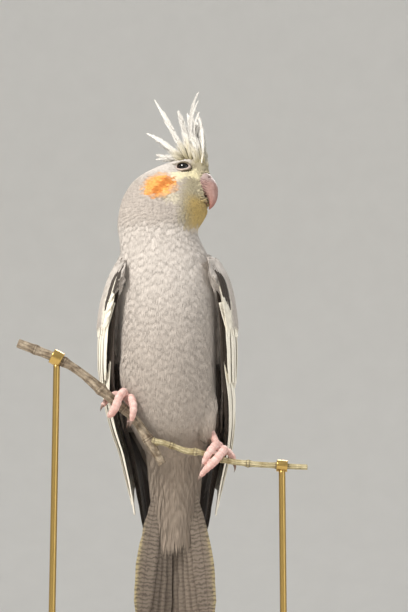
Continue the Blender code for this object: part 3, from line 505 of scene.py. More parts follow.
class Pile:
    """Gathers shapes of one kind, to be made one mesh. Each shape gets its own cell of the bake's map."""

    def __init__(self):
        self.points = []
        self.faces = []
        self.layers = {}
        self.cells = []
        self.count = 0

    def add(self, points, faces, spread=None, **layers):
        """Adds a closed shape, its place on its own cell, and its layers as numbers or lists."""
        points = np.asarray(points, float)
        self.faces += [group + self.count for group in outward(points, faces)]
        self.points.append(points)
        self.count += len(points)
        self.cells.append(np.zeros((len(points), 2)) if spread is None else spread)
        for label, values in layers.items():
            self.layers.setdefault(label, []).append(np.broadcast_to(np.asarray(values, float), len(points)))

    def make(self, name, material, slot_name, *nodes, in_bird=True):
        """Makes the mesh, and rides it on the model."""
        grid = math.ceil(math.sqrt(len(self.cells)))
        cells = [
            (np.array([number % grid, number // grid]) + 0.04 + 0.92 * spread) / grid
            for number, spread in enumerate(self.cells)
        ]
        layers = {label: np.concatenate(values) for label, values in self.layers.items()}
        maps = {"OFBake": np.concatenate(cells)}
        obj = make_piece(name, np.vstack(self.points), self.faces, material, layers, maps, in_bird)
        return finish_piece(obj, slot_name, *nodes)


def band(rows, sides, closed=False):
    """Quads from each ring of points to the next, and from the last to the first where closed."""
    grid = np.meshgrid(np.arange(rows if closed else rows - 1), np.arange(sides), indexing="ij")
    row, side = (values.ravel() for values in grid)
    below, after = (row + 1) % rows * sides, (side + 1) % sides
    row = row * sides
    return np.stack([row + side, row + after, below + after, below + side], 1)


def loft(rings):
    """Points and faces of a closed skin over rings of points, with a middle point at each end."""
    rings = np.asarray(rings, float)
    rows, sides = rings.shape[:2]
    points = np.vstack([rings.reshape(-1, 3), rings[0].mean(0), rings[-1].mean(0)])
    ring = np.arange(sides)
    after = (ring + 1) % sides
    base = (rows - 1) * sides
    first = np.stack([after, ring, np.full(sides, rows * sides)], 1)
    last = np.stack([base + ring, base + after, np.full(sides, rows * sides + 1)], 1)
    return points, [band(rows, sides), np.vstack([first, last])]


def ovals(across, deep, height, turn):
    """Rings of points round an upright axis, from the two reaches and the height of each."""
    across, deep, height = (np.asarray(values, float)[:, None] for values in (across, deep, height))
    return np.stack([across * np.cos(turn), deep * np.sin(turn), height + 0 * turn], -1)


def curve_through(stations, rows):
    """A smooth curve through stations at evenly spaced places: its columns, and how far along each lies."""
    stations = np.asarray(stations, float)
    reach = np.concatenate([[0], np.cumsum(np.linalg.norm(np.diff(stations[:, :3], axis=0), axis=1))])
    at = np.linspace(0, reach[-1], rows)
    return smooth_read(np.column_stack([reach, stations]), at)[:, 1:], at


def carried_sides(line):
    """Two unit vectors across a line at each of its points, carried along it without twist."""
    along = unit(np.gradient(line, axis=0))
    guide = np.eye(3)[np.argmin(abs(along[0]))]
    first = np.zeros_like(line)
    for i, heading in enumerate(along):
        guide = unit(guide - heading * np.dot(guide, heading))
        first[i] = guide
    return first, np.cross(first, along)


def tube(stations, sides, rows, relief=None, round_ends=True):
    """A closed round tube through stations of x, depth, height and radius. A relief adds to its radius."""
    read, at = curve_through(stations, rows)
    line, radius = read[:, :3], np.maximum(read[:, 3], 0.08)
    first, second = carried_sides(line)
    turn = np.linspace(0, 2 * math.pi, sides, endpoint=False)
    radius = np.repeat(radius[:, None], sides, 1)
    if relief is not None:
        radius = radius + relief(at[:, None], turn[None, :])
    rings = line[:, None] + radius[..., None] * (
        np.cos(turn)[None, :, None] * first[:, None] + np.sin(turn)[None, :, None] * second[:, None]
    )
    if round_ends:
        along = unit(np.gradient(line, axis=0))
        for end, step in ((0, -1), (-1, 1)):
            cap = []
            for part in (0.35, 0.6, 0.8, 0.93):
                ring = line[end] + (rings[end] - line[end]) * math.sqrt(1 - part * part)
                cap.append(ring + along[end] * step * radius[end].mean() * part)
            rings = np.concatenate([cap[::-1], rings] if end == 0 else [rings, cap])
    return loft(rings)


def ball(middle, radii, axes=np.eye(3), sides=32, rows=20):
    """Points and faces of an ellipsoid with its axes along the columns of a matrix."""
    rise = np.linspace(-math.pi / 2, math.pi / 2, rows + 2)[1:-1]
    turn = np.linspace(0, 2 * math.pi, sides, endpoint=False)
    points, faces = loft(ovals(np.cos(rise), np.cos(rise), np.sin(rise), turn))
    points[-2:] = ((0, 0, -1), (0, 0, 1))
    return (points * radii) @ np.asarray(axes, float).T + middle, faces


def head_ball(spot, radii, **detail):
    """An ellipsoid placed in the head's frame."""
    return ball(from_head(spot), radii, HEAD[:3, :3], **detail)


def heap(shapes):
    """Points and faces of several shapes as one."""
    points, faces, count = [], [], 0
    for shape_points, shape_faces in shapes:
        points.append(shape_points)
        faces += [group + count for group in outward(shape_points, shape_faces)]
        count += len(shape_points)
    return np.vstack(points), faces


def add_voxels(obj, voxel):
    """Gives a mesh an even surface of voxels."""
    step = obj.modifiers.new("voxels", "REMESH")
    step.mode = "VOXEL"
    step.voxel_size = voxel


def fused(shapes, voxel, cutters=(), rounds=2):
    """One closed surface round several closed shapes, less some cutters, by voxels: its points and faces."""
    made = []
    for label, group in (("fused", shapes), ("cutters", cutters)):
        if not group:
            continue
        mesh = bpy.data.meshes.new(label)
        fill_mesh(mesh, *heap(group))
        obj = bpy.data.objects.new(label, mesh)
        bpy.context.scene.collection.objects.link(obj)
        made.append(obj)
    body = made[0]
    for obj in made:
        add_voxels(obj, voxel)
    if cutters:
        cut = body.modifiers.new("cut", "BOOLEAN")
        cut.operation = "DIFFERENCE"
        cut.object = made[1]
        cut.solver = "EXACT"
        add_voxels(body, voxel)
    soften = body.modifiers.new("soften", "SMOOTH")
    soften.factor = 0.5
    soften.iterations = rounds
    bpy.context.view_layer.update()
    graph = bpy.context.evaluated_depsgraph_get()
    result = bpy.data.meshes.new_from_object(body.evaluated_get(graph))
    points = np.zeros(len(result.vertices) * 3, np.float32)
    result.vertices.foreach_get("co", points)
    corners = np.zeros(len(result.loops), np.int32)
    result.loops.foreach_get("vertex_index", corners)
    sizes = np.zeros(len(result.polygons), np.int32)
    result.polygons.foreach_get("loop_total", sizes)
    starts = np.concatenate([[0], np.cumsum(sizes)[:-1]])
    faces = []
    for size in np.unique(sizes):
        first = starts[sizes == size]
        faces.append(corners[first[:, None] + np.arange(size)[None, :]])
    for obj in made:
        bpy.data.objects.remove(obj)
    bpy.data.meshes.remove(result)
    return points.reshape(-1, 3).astype(float), faces


# Materials

BODY_HEX = {
    "down": "7D7369",
    "grey": "ADA49C",
    "brown": "94877A",
    "pale": "D3CDC7",
    "olive": "A69C7E",
    "throat": "B29A62",
    "cream": "E6DDB8",
    # painted shade: a dark olive brown over each eye and under the ear patch
    "painted_shade": "6A604A",
    "ear": "E8A352",
    "streak": "B4682A",
    "white": "F0EADB",
}
MARKS = ("pale", "olive", "throat", "cream", "painted_shade", "ear", "streak", "white")


def linear(hex_colour):
    """An sRGB hex colour as linear red, green, blue and alpha."""
    channels = [int(hex_colour[i : i + 2], 16) / 255 for i in (0, 2, 4)]
    return (*(c / 12.92 if c <= 0.04045 else ((c + 0.055) / 1.055) ** 2.4 for c in channels), 1.0)


def plug(tree, socket, value):
    """Feeds a socket from another node's output, or sets it to a number or a hex colour."""
    if isinstance(value, Value):
        value = value.socket
    if isinstance(value, bpy.types.NodeSocket):
        tree.links.new(value, socket)
    else:
        socket.default_value = linear(value) if isinstance(value, str) else value


def add_node(tree, kind, inputs=None, **settings):
    """Adds a node with its settings. Each input is a value, or another node's output to link from."""
    made = tree.nodes.new(kind)
    for label, value in settings.items():
        setattr(made, label, value)
    for label, value in (inputs or {}).items():
        plug(tree, made.inputs[label], value)
    return made


class Value:
    """A node's number, which can be used in plain sums."""

    def __init__(self, tree, socket):
        self.tree = tree
        self.socket = socket

    def reckon(self, operation, *values):
        """The number from a math node."""
        step = add_node(self.tree, "ShaderNodeMath", operation=operation)
        for socket, value in zip(step.inputs, values):
            plug(self.tree, socket, value)
        return Value(self.tree, step.outputs[0])

    def __add__(self, other):
        return self.reckon("ADD", self, other)

    def __sub__(self, other):
        return self.reckon("SUBTRACT", self, other)

    def __rsub__(self, other):
        return self.reckon("SUBTRACT", other, self)

    def __mul__(self, other):
        return self.reckon("MULTIPLY", self, other)

    def wave(self, length):
        """A sine with a length from crest to crest."""
        return self.reckon("SINE", self * (2 * math.pi / length))

    def clamped(self):
        """The same number, kept from 0 to 1."""
        self.socket.node.use_clamp = True
        return self


class Finish:
    """A material in the making. Keywords set the shader's own constants."""

    def __init__(self, name, **constants):
        self.material = bpy.data.materials.new(name)
        self.material.use_nodes = True
        self.tree = self.material.node_tree
        self.shader = self.tree.nodes["Principled BSDF"]
        for label, value in constants.items():
            label = label.replace("_", " ").title().replace("Ior", "IOR")
            self.shader.inputs[label].default_value = value

    def layer(self, name):
        """A point attribute's number."""
        node = add_node(self.tree, "ShaderNodeAttribute", attribute_name=name)
        return Value(self.tree, node.outputs["Fac"])

    def noise(self, size_mm, detail=2.0, rough=0.5, stretch=None):
        """Noise with features of a real size, in object coordinates, drawn out along an axis if asked."""
        place = add_node(self.tree, "ShaderNodeTexCoord").outputs["Object"]
        if stretch is not None:
            node = add_node(self.tree, "ShaderNodeMapping", {"Vector": place, "Scale": stretch})
            place = node.outputs["Vector"]
        inputs = {"Vector": place, "Scale": 1 / (size_mm * MM), "Detail": detail, "Roughness": rough}
        return Value(self.tree, add_node(self.tree, "ShaderNodeTexNoise", inputs).outputs["Fac"])

    def mix(self, first, second, share, blend="MIX"):
        """One colour laid over another by a share."""
        step = add_node(self.tree, "ShaderNodeMix", data_type="RGBA", blend_type=blend)
        for number, value in ((0, share), (6, first), (7, second)):
            plug(self.tree, step.inputs[number], value)
        return step.outputs[2]

    def brighten(self, colour, amount):
        """A colour multiplied by a number."""
        channels = {"Red": amount, "Green": amount, "Blue": amount}
        grey = add_node(self.tree, "ShaderNodeCombineColor", channels).outputs[0]
        return self.mix(colour, grey, 1.0, "MULTIPLY")

    def done(self, colour, relief=None, depth_mm=0.0, strength=1.0, roughness=None):
        """The material with its colour, and with a bump of a real depth where there is a relief."""
        plug(self.tree, self.shader.inputs["Base Color"], colour)
        if roughness is not None:
            plug(self.tree, self.shader.inputs["Roughness"], roughness)
        if relief is not None:
            inputs = {"Height": relief, "Distance": depth_mm * MM, "Strength": strength}
            bump = add_node(self.tree, "ShaderNodeBump", inputs)
            plug(self.tree, self.shader.inputs["Normal"], bump.outputs["Normal"])
        return self.material


def plumage_colour(made):
    """Colour of the body's plumage from its markings and its painted shade, the same on the skin and on the
    coat.
    """
    colour = made.mix(BODY_HEX["grey"], BODY_HEX["brown"], made.layer("brown"))
    for label in MARKS:
        colour = made.mix(colour, BODY_HEX[label], made.layer(label))
    colour = made.brighten(colour, made.noise(6.0, 3.0) * 0.22 + 0.89)
    return made.brighten(colour, made.noise(1.2, 2.0, 0.5, (1.0, 1.0, 0.14)) * 0.34 + 0.83)


def contour_feather_material():
    """Keratin barbs of small body feathers: dull and soft, no two feathers of quite the same tone."""
    made = Finish(
        "contour feather keratin",
        roughness=0.85,
        specular_ior_level=0.2,
        sheen_weight=0.15,
        sheen_roughness=0.5,
    )
    colour = made.brighten(plumage_colour(made), made.layer("tone") * 0.07 + 1.0)
    root = (1.0 - made.layer("along") * 2.4).clamped()
    return made.done(made.mix(colour, BODY_HEX["down"], root * 0.45))


def under_skin_material():
    """Skin and down between the feathers: the coat's own markings, darker."""
    made = Finish("downy skin", roughness=0.9, specular_ior_level=0.2)
    return made.done(made.brighten(plumage_colour(made), made.noise(1.2) * 0.2 + 0.75), made.noise(0.9), 0.3)


BARB_WAVE = 0.6
TAIL_BAR_WAVE = 2.1


def vane_material(name, vane_hex, edge_hex, mark_hex, roughness):
    """Flight or tail feather: a vane of fine slanted barbs either side of a shaft, with a soft gloss."""
    made = Finish(name, roughness=roughness, specular_ior_level=0.3, sheen_weight=0.08)
    run, tone, aside = made.layer("run"), made.layer("tone"), made.layer("aside")
    out = aside.reckon("ABSOLUTE", aside)
    colour = made.mix(vane_hex, edge_hex, made.layer("edge"))
    colour = made.mix(colour, mark_hex, made.layer("mark"))
    bars = (run + made.noise(3.0, 3.0, 0.6) * 4.2 + tone * 1.6).wave(TAIL_BAR_WAVE)
    bars = (bars * 0.9 + 0.35).clamped() * (made.noise(1.4) * 1.6 - 0.1).clamped()
    colour = made.mix(colour, "4B4239", bars * made.layer("bars"))
    barb = (run - out * 1.1).wave(BARB_WAVE)
    fine = barb * 0.05 + made.noise(1.3, 3.0, 0.6) * 0.24 + 0.86
    colour = made.brighten(colour, fine * (tone * 0.09 + 1.0))
    shaft = (1.0 - out * 3.4).clamped()
    return made.done(made.mix(colour, "54493F", shaft * made.layer("quill")), barb, 0.06, 0.6)


def crest_material():
    """Loose white barbs of the crest: soft and matt, tinged with olive at their roots."""
    made = Finish("crest feather keratin", roughness=0.7, specular_ior_level=0.3, sheen_weight=0.1)
    root = (1.0 - made.layer("along") * 3.2).clamped()
    return made.done(made.brighten(made.mix("EDE9E2", "B3A67C", root), made.layer("tone") * 0.12 + 0.92))


def eye_material():
    """Wet eye: a black pupil in a dark brown iris under a clear glossy cornea."""
    made = Finish("wet eye", roughness=0.1, specular_ior_level=0.3, coat_weight=0.4, coat_roughness=0.02)
    iris = ((made.layer("gaze") + made.noise(0.5) * 0.08 - 0.62) * 8.0).clamped()
    return made.done(made.mix("080605", "24160F", iris))


def lid_material():
    """Bare skin of the eyelid: thin, pinkish white below and with a painted dusky shade above, in fine folds.
    """
    made = Finish("bare eyelid skin", roughness=0.55)
    # Painted shade: the upper lid is a dark olive brown where the brow shades it; only the lower lid keeps
    # the skin's pinkish white.
    colour = made.mix("6E614C", "EAD6CC", made.layer("low"))
    colour = made.brighten(colour, made.noise(0.45, 3.0, 0.7) * 0.7 + 0.6)
    return made.done(colour, made.noise(0.35, 3.0, 0.7), 0.2)


def bill_material():
    """Bill horn: a waxy keratin, pinkish brown, creased across its base with painted shade in the creases,
    with a dull bloom on the cere.
    """
    made = Finish("bill horn", roughness=0.48, specular_ior_level=0.4, coat_weight=0.06)
    cloud = made.noise(1.8, 3.0, 0.6)
    crease = (cloud * 2.6 + made.layer("rise")).wave(1.15)
    crease = (crease * 0.9 + 0.1).clamped() * made.layer("creased")
    colour = made.mix("86655C", "A98880", (cloud * 2.0 - 0.5).clamped())
    colour = made.mix(colour, "9F8B86", made.layer("cere"))
    colour = made.mix(colour, "8E5E53", made.layer("tip"))
    # Painted shade: the creases are darkened over their bump.
    return made.done(made.mix(colour, "5E443F", crease * 0.8), made.noise(0.6, 3.0) * 0.4 - crease, 0.16)


def claw_material():
    """Claw horn: grey-brown keratin, glossier than the toes, paler at its root."""
    made = Finish("claw horn", roughness=0.35, specular_ior_level=0.5)
    colour = made.mix("A58C80", "54443C", made.layer("along"))
    return made.done(colour, made.noise(0.4, 2.0, 0.5, (1, 1, 0.4)), 0.05)


def foot_material():
    """Scaled skin of the toes: pinkish white, with a painted reddish shade in the creases and on the
    underside of each toe.
    """
    made = Finish("scaled foot skin", roughness=0.5, specular_ior_level=0.35)
    inputs = {"Vector": add_node(made.tree, "ShaderNodeTexCoord").outputs["Object"], "Scale": 1 / (0.75 * MM)}
    scales = add_node(made.tree, "ShaderNodeTexVoronoi", inputs, feature="DISTANCE_TO_EDGE")
    crease = (1.0 - Value(made.tree, scales.outputs["Distance"]) * 8.0).clamped()
    # Painted shade: reddish in the grooves between scutes and pads and on the toes' undersides.
    colour = made.mix("E9D2CB", "C58478", made.layer("painted_foot_shade"))
    colour = made.mix(colour, "CF9A8E", (made.noise(2.2) * 1.6 - 0.45).clamped())
    # Painted shade, lightly, in the creases between the scales; their relief is a bump.
    return made.done(made.mix(colour, "B9796E", crease * 0.3), 1.0 - crease, 0.07)


def bark_material():
    """Thin twig bark: dry and matt, long wrinkles and grey patches, paler and fresher on the young arm, with
    painted shade in the wrinkles' troughs and painted light on their crests.
    """
    made = Finish("twig bark", roughness=0.88, specular_ior_level=0.2)
    young, wrinkle, grain = made.layer("young"), made.layer("wrinkle"), made.noise(0.7, 4.0, 0.65)
    light, dark = made.mix("B9AA95", "CFC39E", young), made.mix("6E5E4C", "9C8C66", young)
    colour = made.mix(light, dark, (made.noise(3.6, 4.0, 0.6) * 3.0 - 1.0).clamped())
    colour = made.mix(colour, "5B4C3E", made.layer("scar") * 0.7)
    # Painted shade and light: darker in the troughs of the wrinkles and lighter on their crests.
    return made.done(made.brighten(colour, wrinkle * 0.28 + grain * 0.5 + 0.6), grain + wrinkle, 0.2)


def walnut_material():
    """Oiled walnut: brown, straight-grained, with a low satin gloss."""
    made = Finish("oiled walnut", roughness=0.42, specular_ior_level=0.4, coat_weight=0.12)
    grain = made.noise(2.2, 5.0, 0.6, (0.06, 1.0, 1.0))
    pores = made.noise(0.5, 2.0, 0.7, (0.05, 1.0, 1.0))
    colour = made.mix("7A5336", "3E2818", (grain * 2.4 - 0.7).clamped())
    return made.done(made.brighten(colour, pores * 0.4 + 0.78), pores, 0.08)


def brass_material():
    """Drawn brass rod, lightly brushed along its length."""
    made = Finish("brushed brass", metallic=1.0)
    brushed = made.noise(0.3, 2.0, 0.6, (1.0, 1.0, 0.05))
    return made.done(made.mix("C2A566", "A8894C", brushed), brushed, 0.01, roughness=brushed * 0.2 + 0.22)


def floor_material():
    """Matt paper sweep of the studio."""
    made = Finish("matt studio paper", roughness=0.95, specular_ior_level=0.1)
    return made.done(made.mix("E6E4E0", "E0DEDA", made.noise(60.0)))


# Plumage

EAR_MIDDLE = (0.4, -1.8)
EAR_RADII = (9.0, 7.6)
STREAK_FROM = (7.1, 5.8)
STREAK_TO = (-3.4, -10.0)
BILL_ROOT = (20.5, 0.0, -1.0)

# Pale creamy patches of the face in the head's frame: forward, up, half length, half height, strength
CREAM_SPOTS = (
    (15.6, 6.6, 3.4, 3.2, 0.85),
    (7.6, 3.2, 3.6, 2.8, 0.7),
    (11.4, 5.4, 4.6, 1.7, 0.6),
    (7.6, -8.8, 4.2, 3.4, 0.35),
)


def oval_mask(forward, up, spot, inner, outer):
    """Fades from 1 within an oval of the head's side to 0 outside it."""
    reach = np.hypot((forward - spot[0]) / spot[2], (up - spot[1]) / spot[3])
    return 1 - smooth_step(reach, inner, outer)


def marks(points):
    """How much of each marking of the plumage, and of the painted shade over the eyes and under the ear
    patch, a point carries, from 0 to 1.
    """
    forward, aside, up = to_head(points).T
    height = points[:, 2]
    ripple = 0.06 * np.sin(1.7 * forward + 2.1 * up) + 0.05 * np.sin(3.1 * up - 1.3 * forward)
    on_head = smooth_step(height, 100, 106)
    cheek = smooth_step(abs(aside), 3.5, 6.5)
    oval = np.hypot((forward - EAR_MIDDLE[0]) / EAR_RADII[0], (up - EAR_MIDDLE[1]) / EAR_RADII[1]) + ripple
    ear = (1 - smooth_step(oval, 0.62, 1.08)) * on_head * cheek
    start, end = np.array(STREAK_FROM), np.array(STREAK_TO)
    heading = unit(end - start)
    flat = np.stack([forward, up], -1) - start
    run = flat @ heading
    off = abs(flat @ np.array([-heading[1], heading[0]])) + 9 * ripple
    within = smooth_step(run, -1.5, 1.5) * (1 - smooth_step(run, 14.0, 18.0))
    streak = (1 - smooth_step(off, 0.7, 3.2)) * within * on_head * cheek
    olive = smooth_step(forward, 8.5, 15.0) * on_head * 0.85
    throat = smooth_step(forward, 12.0, 18.0) * (1 - smooth_step(up, -9.0, -3.0))
    throat = throat * smooth_step(height, 98, 104)
    cream = sum(spot[4] * oval_mask(forward, up, spot, 0.55, 1.15) for spot in CREAM_SPOTS)
    # Painted shade: a dark band over each eye where the brow shades it, and a painted shadow line under the
    # ear patch.
    lid = eye_distance(points)
    brow_shade = (1 - smooth_step(lid, 1.75, 2.6)) * smooth_step(up, EYE_UP + 0.6, EYE_UP + 1.8)
    shadow_under_ear = oval_mask(forward, up, (3.0, -8.6, 6.0, 1.5), 0.4, 1.2) * 0.5
    pale = 0.6 * on_head * smooth_step(up, 1.0, 9.0) * (1 - smooth_step(forward, 8.0, 14.0))
    pale = np.maximum(pale, 0.4 * smooth_step(height, 40, 85) * (1 - on_head))
    brown = 0.9 * (1 - smooth_step(height, -14, 14)) + 0.3 * (1 - smooth_step(height, 5, 55))
    on_back = smooth_step(points[:, 1], 2.0, 14.0) * (1 - smooth_step(height, 84, 104))
    brown = np.maximum(brown, 0.55 * on_back)
    return {
        "brown": np.clip(brown, 0, 1),
        "pale": pale,
        "olive": olive * (1 - ear),
        "throat": throat,
        "cream": np.clip(cream, 0, 0.9) * cheek * on_head * (1 - 0.8 * ear),
        "painted_shade": np.clip(0.85 * brow_shade + shadow_under_ear, 0, 1) * cheek * on_head,
        "ear": 0.95 * ear,
        "streak": 0.85 * streak * smooth_step(ear, 0.1, 0.6),
        "white": np.zeros(len(points)),
    }


def lie(points, normals):
    """Headings of the feathers over the skin: away from the bill and round the eyes, then down the body."""
    away = unit(points - from_head(BILL_ROOT))
    share = smooth_step(points[:, 2], 98, 114)[:, None]
    heading = share * away + (1 - share) * np.array([0.0, 0.0, -1.0])
    beside = np.sign(to_head(points)[:, 1])[:, None]
    eye_spots = np.array([EYE_FORWARD, 0.0, EYE_UP]) + beside * np.array([0.0, EYE_APART, 0.0])
    near = 1.7 * (1 - smooth_step(eye_distance(points), 1.2, 2.7))[:, None]
    heading = heading + near * unit(points - from_head(eye_spots))
    heading = heading - normals * np.einsum("ij,ij->i", heading, normals)[:, None]
    return unit(heading)


def eye_distance(points):
    """How far a point lies from the nearer eye's middle, as a share of the opening between its lids."""
    forward, aside, up = to_head(points).T
    oval = np.hypot((forward - EYE_FORWARD) / EYE_OPENING[0], (up - EYE_UP) / EYE_OPENING[1])
    return np.where(abs(aside) > 3.0, oval, 99.0)


def tail_root():
    """The fleshy root of the tail."""
    turn = np.linspace(0, 2 * math.pi, 72, endpoint=False)
    rings = []
    for height, half, front, back in TAIL_CORE:
        lift = np.where(np.cos(turn) > 0, front - TAIL_SKIN_DEPTH, back - TAIL_SKIN_DEPTH) * -np.cos(turn)
        rings.append(tail_points((half - TAIL_SKIN_DEPTH) * np.sin(turn), height, np.minimum(lift, back)))
    return loft(rings)


def wing_arm(side):
    """The fleshy arm of a folded wing, sunk well into the body's side."""
    part = np.linspace(0, 1, 20)
    fade = np.clip(1 - (2 * part - 1) ** 4, 0.12, 1)
    rings = []
    for height in np.linspace(2, 87, 30):
        front, back, face, fullness = (
            np.interp(height, *zip(*table))
            for table in (WING_ARM_FRONT, WING_ARM_BACK, WING_ARM_FACE, WING_ARM_FULLNESS)
        )
        angle = np.radians(front) + (np.radians(back) - np.radians(front)) * part
        face = face + 0.1
        face = face + (0.13 - face) * smooth_step(height, 70, 80)
        outer = in_wing(side, angle, height, face)
        inner = in_wing(side, angle[::-1], height, face + (1.3 - face) * (fade * fullness)[::-1])
        rings.append(np.concatenate([outer, inner]))
    return loft(rings)


def eye_cutters(side):
    """A socket and an oval peg that open the skin over one eye."""
    socket = head_ball((EYE_FORWARD, side * EYE_APART, EYE_UP), (3.7,) * 3)
    turn = np.linspace(0, 2 * math.pi, 24, endpoint=False)
    forward = EYE_FORWARD + (EYE_OPENING[0] + 0.5) * np.cos(turn)
    up = EYE_UP + (EYE_OPENING[1] + 0.5) * np.sin(turn)
    ends = (EYE_APART, EYE_APART + 9)
    peg = loft([from_head(np.column_stack([forward, np.full(24, side * aside), up])) for aside in ends])
    return [socket, peg]


def skin_shape():
    """The one skin under the coat: body, neck, head, thighs, wing arms and the tail's root, fused."""
    turn = np.linspace(0, 2 * math.pi, 72, endpoint=False)[None, :]
    heights = np.linspace(BODY[0][0], BODY[-1][0], 96)[:, None]
    depth = np.interp(heights, *zip(*COAT_DEPTH))
    shapes = [loft(body_points(turn, heights, -depth))]
    shapes += [ball(middle, np.array(radii) - THIGH_COAT_DEPTH) for middle, radii in THIGHS]
    shapes += [tail_root(), wing_arm(-1), wing_arm(1), head_ball(*CREST_PAD)]
    return fused(shapes, SKIN_VOXEL, [*eye_cutters(-1), *eye_cutters(1)])


class Surface:
    """The skin, ready to be searched: triangles, smoothed normals and a tree."""

    def __init__(self, points, faces):
        triangles = []
        for group in faces:
            for i in range(1, group.shape[1] - 1):
                triangles.append(group[:, [0, i, i + 1]])
        self.points = points
        self.triangles = np.vstack(triangles)
        corner = points[self.triangles]
        flat = np.cross(corner[:, 1] - corner[:, 0], corner[:, 2] - corner[:, 0])
        self.areas = np.linalg.norm(flat, axis=1) / 2
        at_points = np.zeros_like(points)
        for column in range(3):
            np.add.at(at_points, self.triangles[:, column], flat)
        self.normals = unit(unit(at_points)[self.triangles].mean(1))
        self.tree = BVHTree.FromPolygons(points.tolist(), self.triangles.tolist(), epsilon=0.0)

    def candidates(self, count, rng):
        """Random points evenly over the surface, and their normals."""
        pick = rng.choice(len(self.areas), count, p=self.areas / self.areas.sum())
        first, second = rng.random(count), rng.random(count)
        fold = first + second > 1
        first[fold], second[fold] = 1 - first[fold], 1 - second[fold]
        a, b, c = (self.points[self.triangles[pick, i]] for i in range(3))
        return a + (b - a) * first[:, None] + (c - a) * second[:, None], self.normals[pick]

    def scattered(self, count, rng, keep, spacing):
        """Random points that a test keeps, no nearer to each other than a spacing, and their normals."""
        points, normals = self.candidates(count, rng)
        kept = keep(points)
        points, normals = points[kept], normals[kept]
        picked = spread_out(points, spacing(points) if callable(spacing) else np.full(len(points), spacing))
        return points[picked], normals[picked]

    def nearest(self, points):
        """The surface's nearest points, and its normals there."""
        spots, normals = np.empty_like(points), np.empty_like(points)
        for i, point in enumerate(points):
            spot, _, index, _ = self.tree.find_nearest(Vector(point))
            spots[i] = spot
            normals[i] = self.normals[index]
        return spots, normals

    def lines(self, roots, normals, lengths, steps, stray, rng):
        """Lays each feather's middle line over the surface, along the lie."""
        line, up = [roots], [normals]
        angle = rng.normal(0, stray, len(roots))[:, None]
        for _ in range(steps):
            heading = lie(line[-1], up[-1])
            side = np.cross(up[-1], heading)
            heading = heading * np.cos(angle) + side * np.sin(angle)
            spot, normal = self.nearest(line[-1] + heading * (lengths / steps)[:, None])
            line.append(spot)
            up.append(normal)
        return np.stack(line, 1), np.stack(up, 1)


def spread_out(points, spacing):
    """Picks points, in order, that lie at least their own spacing from each other."""
    tree = KDTree(len(points))
    for i, point in enumerate(points):
        tree.insert(point, i)
    tree.balance()
    free = np.ones(len(points), bool)
    kept = []
    for i, point in enumerate(points):
        if free[i]:
            kept.append(i)
            for _, other, _ in tree.find_range(point, spacing[i]):
                free[other] = False
    return np.array(kept)


# The skin's unwrap runs from this height up over this length, and each feather bakes on a patch of it
UNWRAP_FROM = -60
UNWRAP_LENGTH = 205
PATCH = 0.003

# A barb is a closed three-sided spike of seven points, through these parts of its length
BARB_ROWS = np.array((0.0, 0.6, 1.0))
BARB_WIDTHS = np.array((0.9, 1.0, 0.0))
BARB_POINTS = 7
BARB_FACES = np.array(
    [face for a, b in ((0, 1), (1, 2), (2, 0)) for face in ((a, b, 3 + b), (a, 3 + b, 3 + a))]
    + [(3, 4, 6), (4, 5, 6), (5, 3, 6), (0, 2, 1)]
)


def fans(line, up, half_width, rise, barbs, ridge, fray, rng):
    """Feathers as fans of closed tapered barbs about their middle lines.

    Returns points, faces, how far along the feather each point lies, and which feather it belongs to.
    """
    count, knots = line.shape[:2]
    side = unit(np.cross(up, np.gradient(line, axis=1)))
    across = np.linspace(-1, 1, barbs)[None, :] + rng.normal(0, 0.04, (count, barbs))
    end = 1 - 0.34 * across**2 - rng.uniform(0, fray, across.shape)
    share = end[..., None] * BARB_ROWS
    knot = np.clip(share * (knots - 1), 0, knots - 1.001)
    low = knot.astype(int)
    mix = (knot - low)[..., None]
    feather = np.arange(count)[:, None, None]

    def read(table):
        return table[feather, low] * (1 - mix) + table[feather, low + 1] * mix

    middle, out, over = read(line), read(up), unit(read(side))
    spread = np.interp(share, (0, 0.35, 0.75, 1), (0.3, 0.85, 1.0, 0.9))
    lift = np.interp(share, (0, 0.25, 1), (-0.3, 0.45, 1.0)) * rise[:, None, None]
    wide = half_width[:, None, None]
    middle = middle + over * (wide * across[..., None] * spread)[..., None]
    middle = middle + out * (lift - 0.1 * wide * across[..., None] ** 2)[..., None]
    own = wide / barbs * 1.7 * BARB_WIDTHS
    left = middle - over * own[..., None]
    right = middle + over * own[..., None]
    top = middle + out * (ridge * BARB_WIDTHS)[None, None, :, None]
    body = np.stack([left, top, right], 3)[:, :, :2].reshape(count, barbs, 6, 3)
    points = np.concatenate([body, middle[:, :, 2:]], 2)
    along = np.concatenate([np.repeat(share[..., :2], 3, -1), share[..., 2:]], -1)
    owner = np.repeat(np.arange(count), barbs * BARB_POINTS)
    base = np.arange(count * barbs)[:, None, None] * BARB_POINTS
    faces = (BARB_FACES[None] + base).reshape(-1, 3)
    faces = outward_like(points[0, barbs // 2], BARB_FACES, faces)
    return points.reshape(-1, 3), faces, along.ravel(), owner


def outward_like(sample_points, sample_faces, faces):
    """Turns all faces as one sample shape needs them turned to point out."""
    turned = outward(sample_points, [sample_faces])[0]
    return faces if np.array_equal(turned, sample_faces) else faces[:, ::-1]


def unwrap(points):
    """Place of a point on the skin's own unwrap: round the body, and along it."""
    rows = smooth_read(BODY, points[:, 2])
    angle = np.arctan2(points[:, 0] - rows[:, 1], -(points[:, 1] - rows[:, 2]))
    across = 0.5 + angle / (2 * math.pi) * 0.98
    return np.stack([across, np.clip((points[:, 2] - UNWRAP_FROM) / UNWRAP_LENGTH, 0.002, 0.998)], -1)


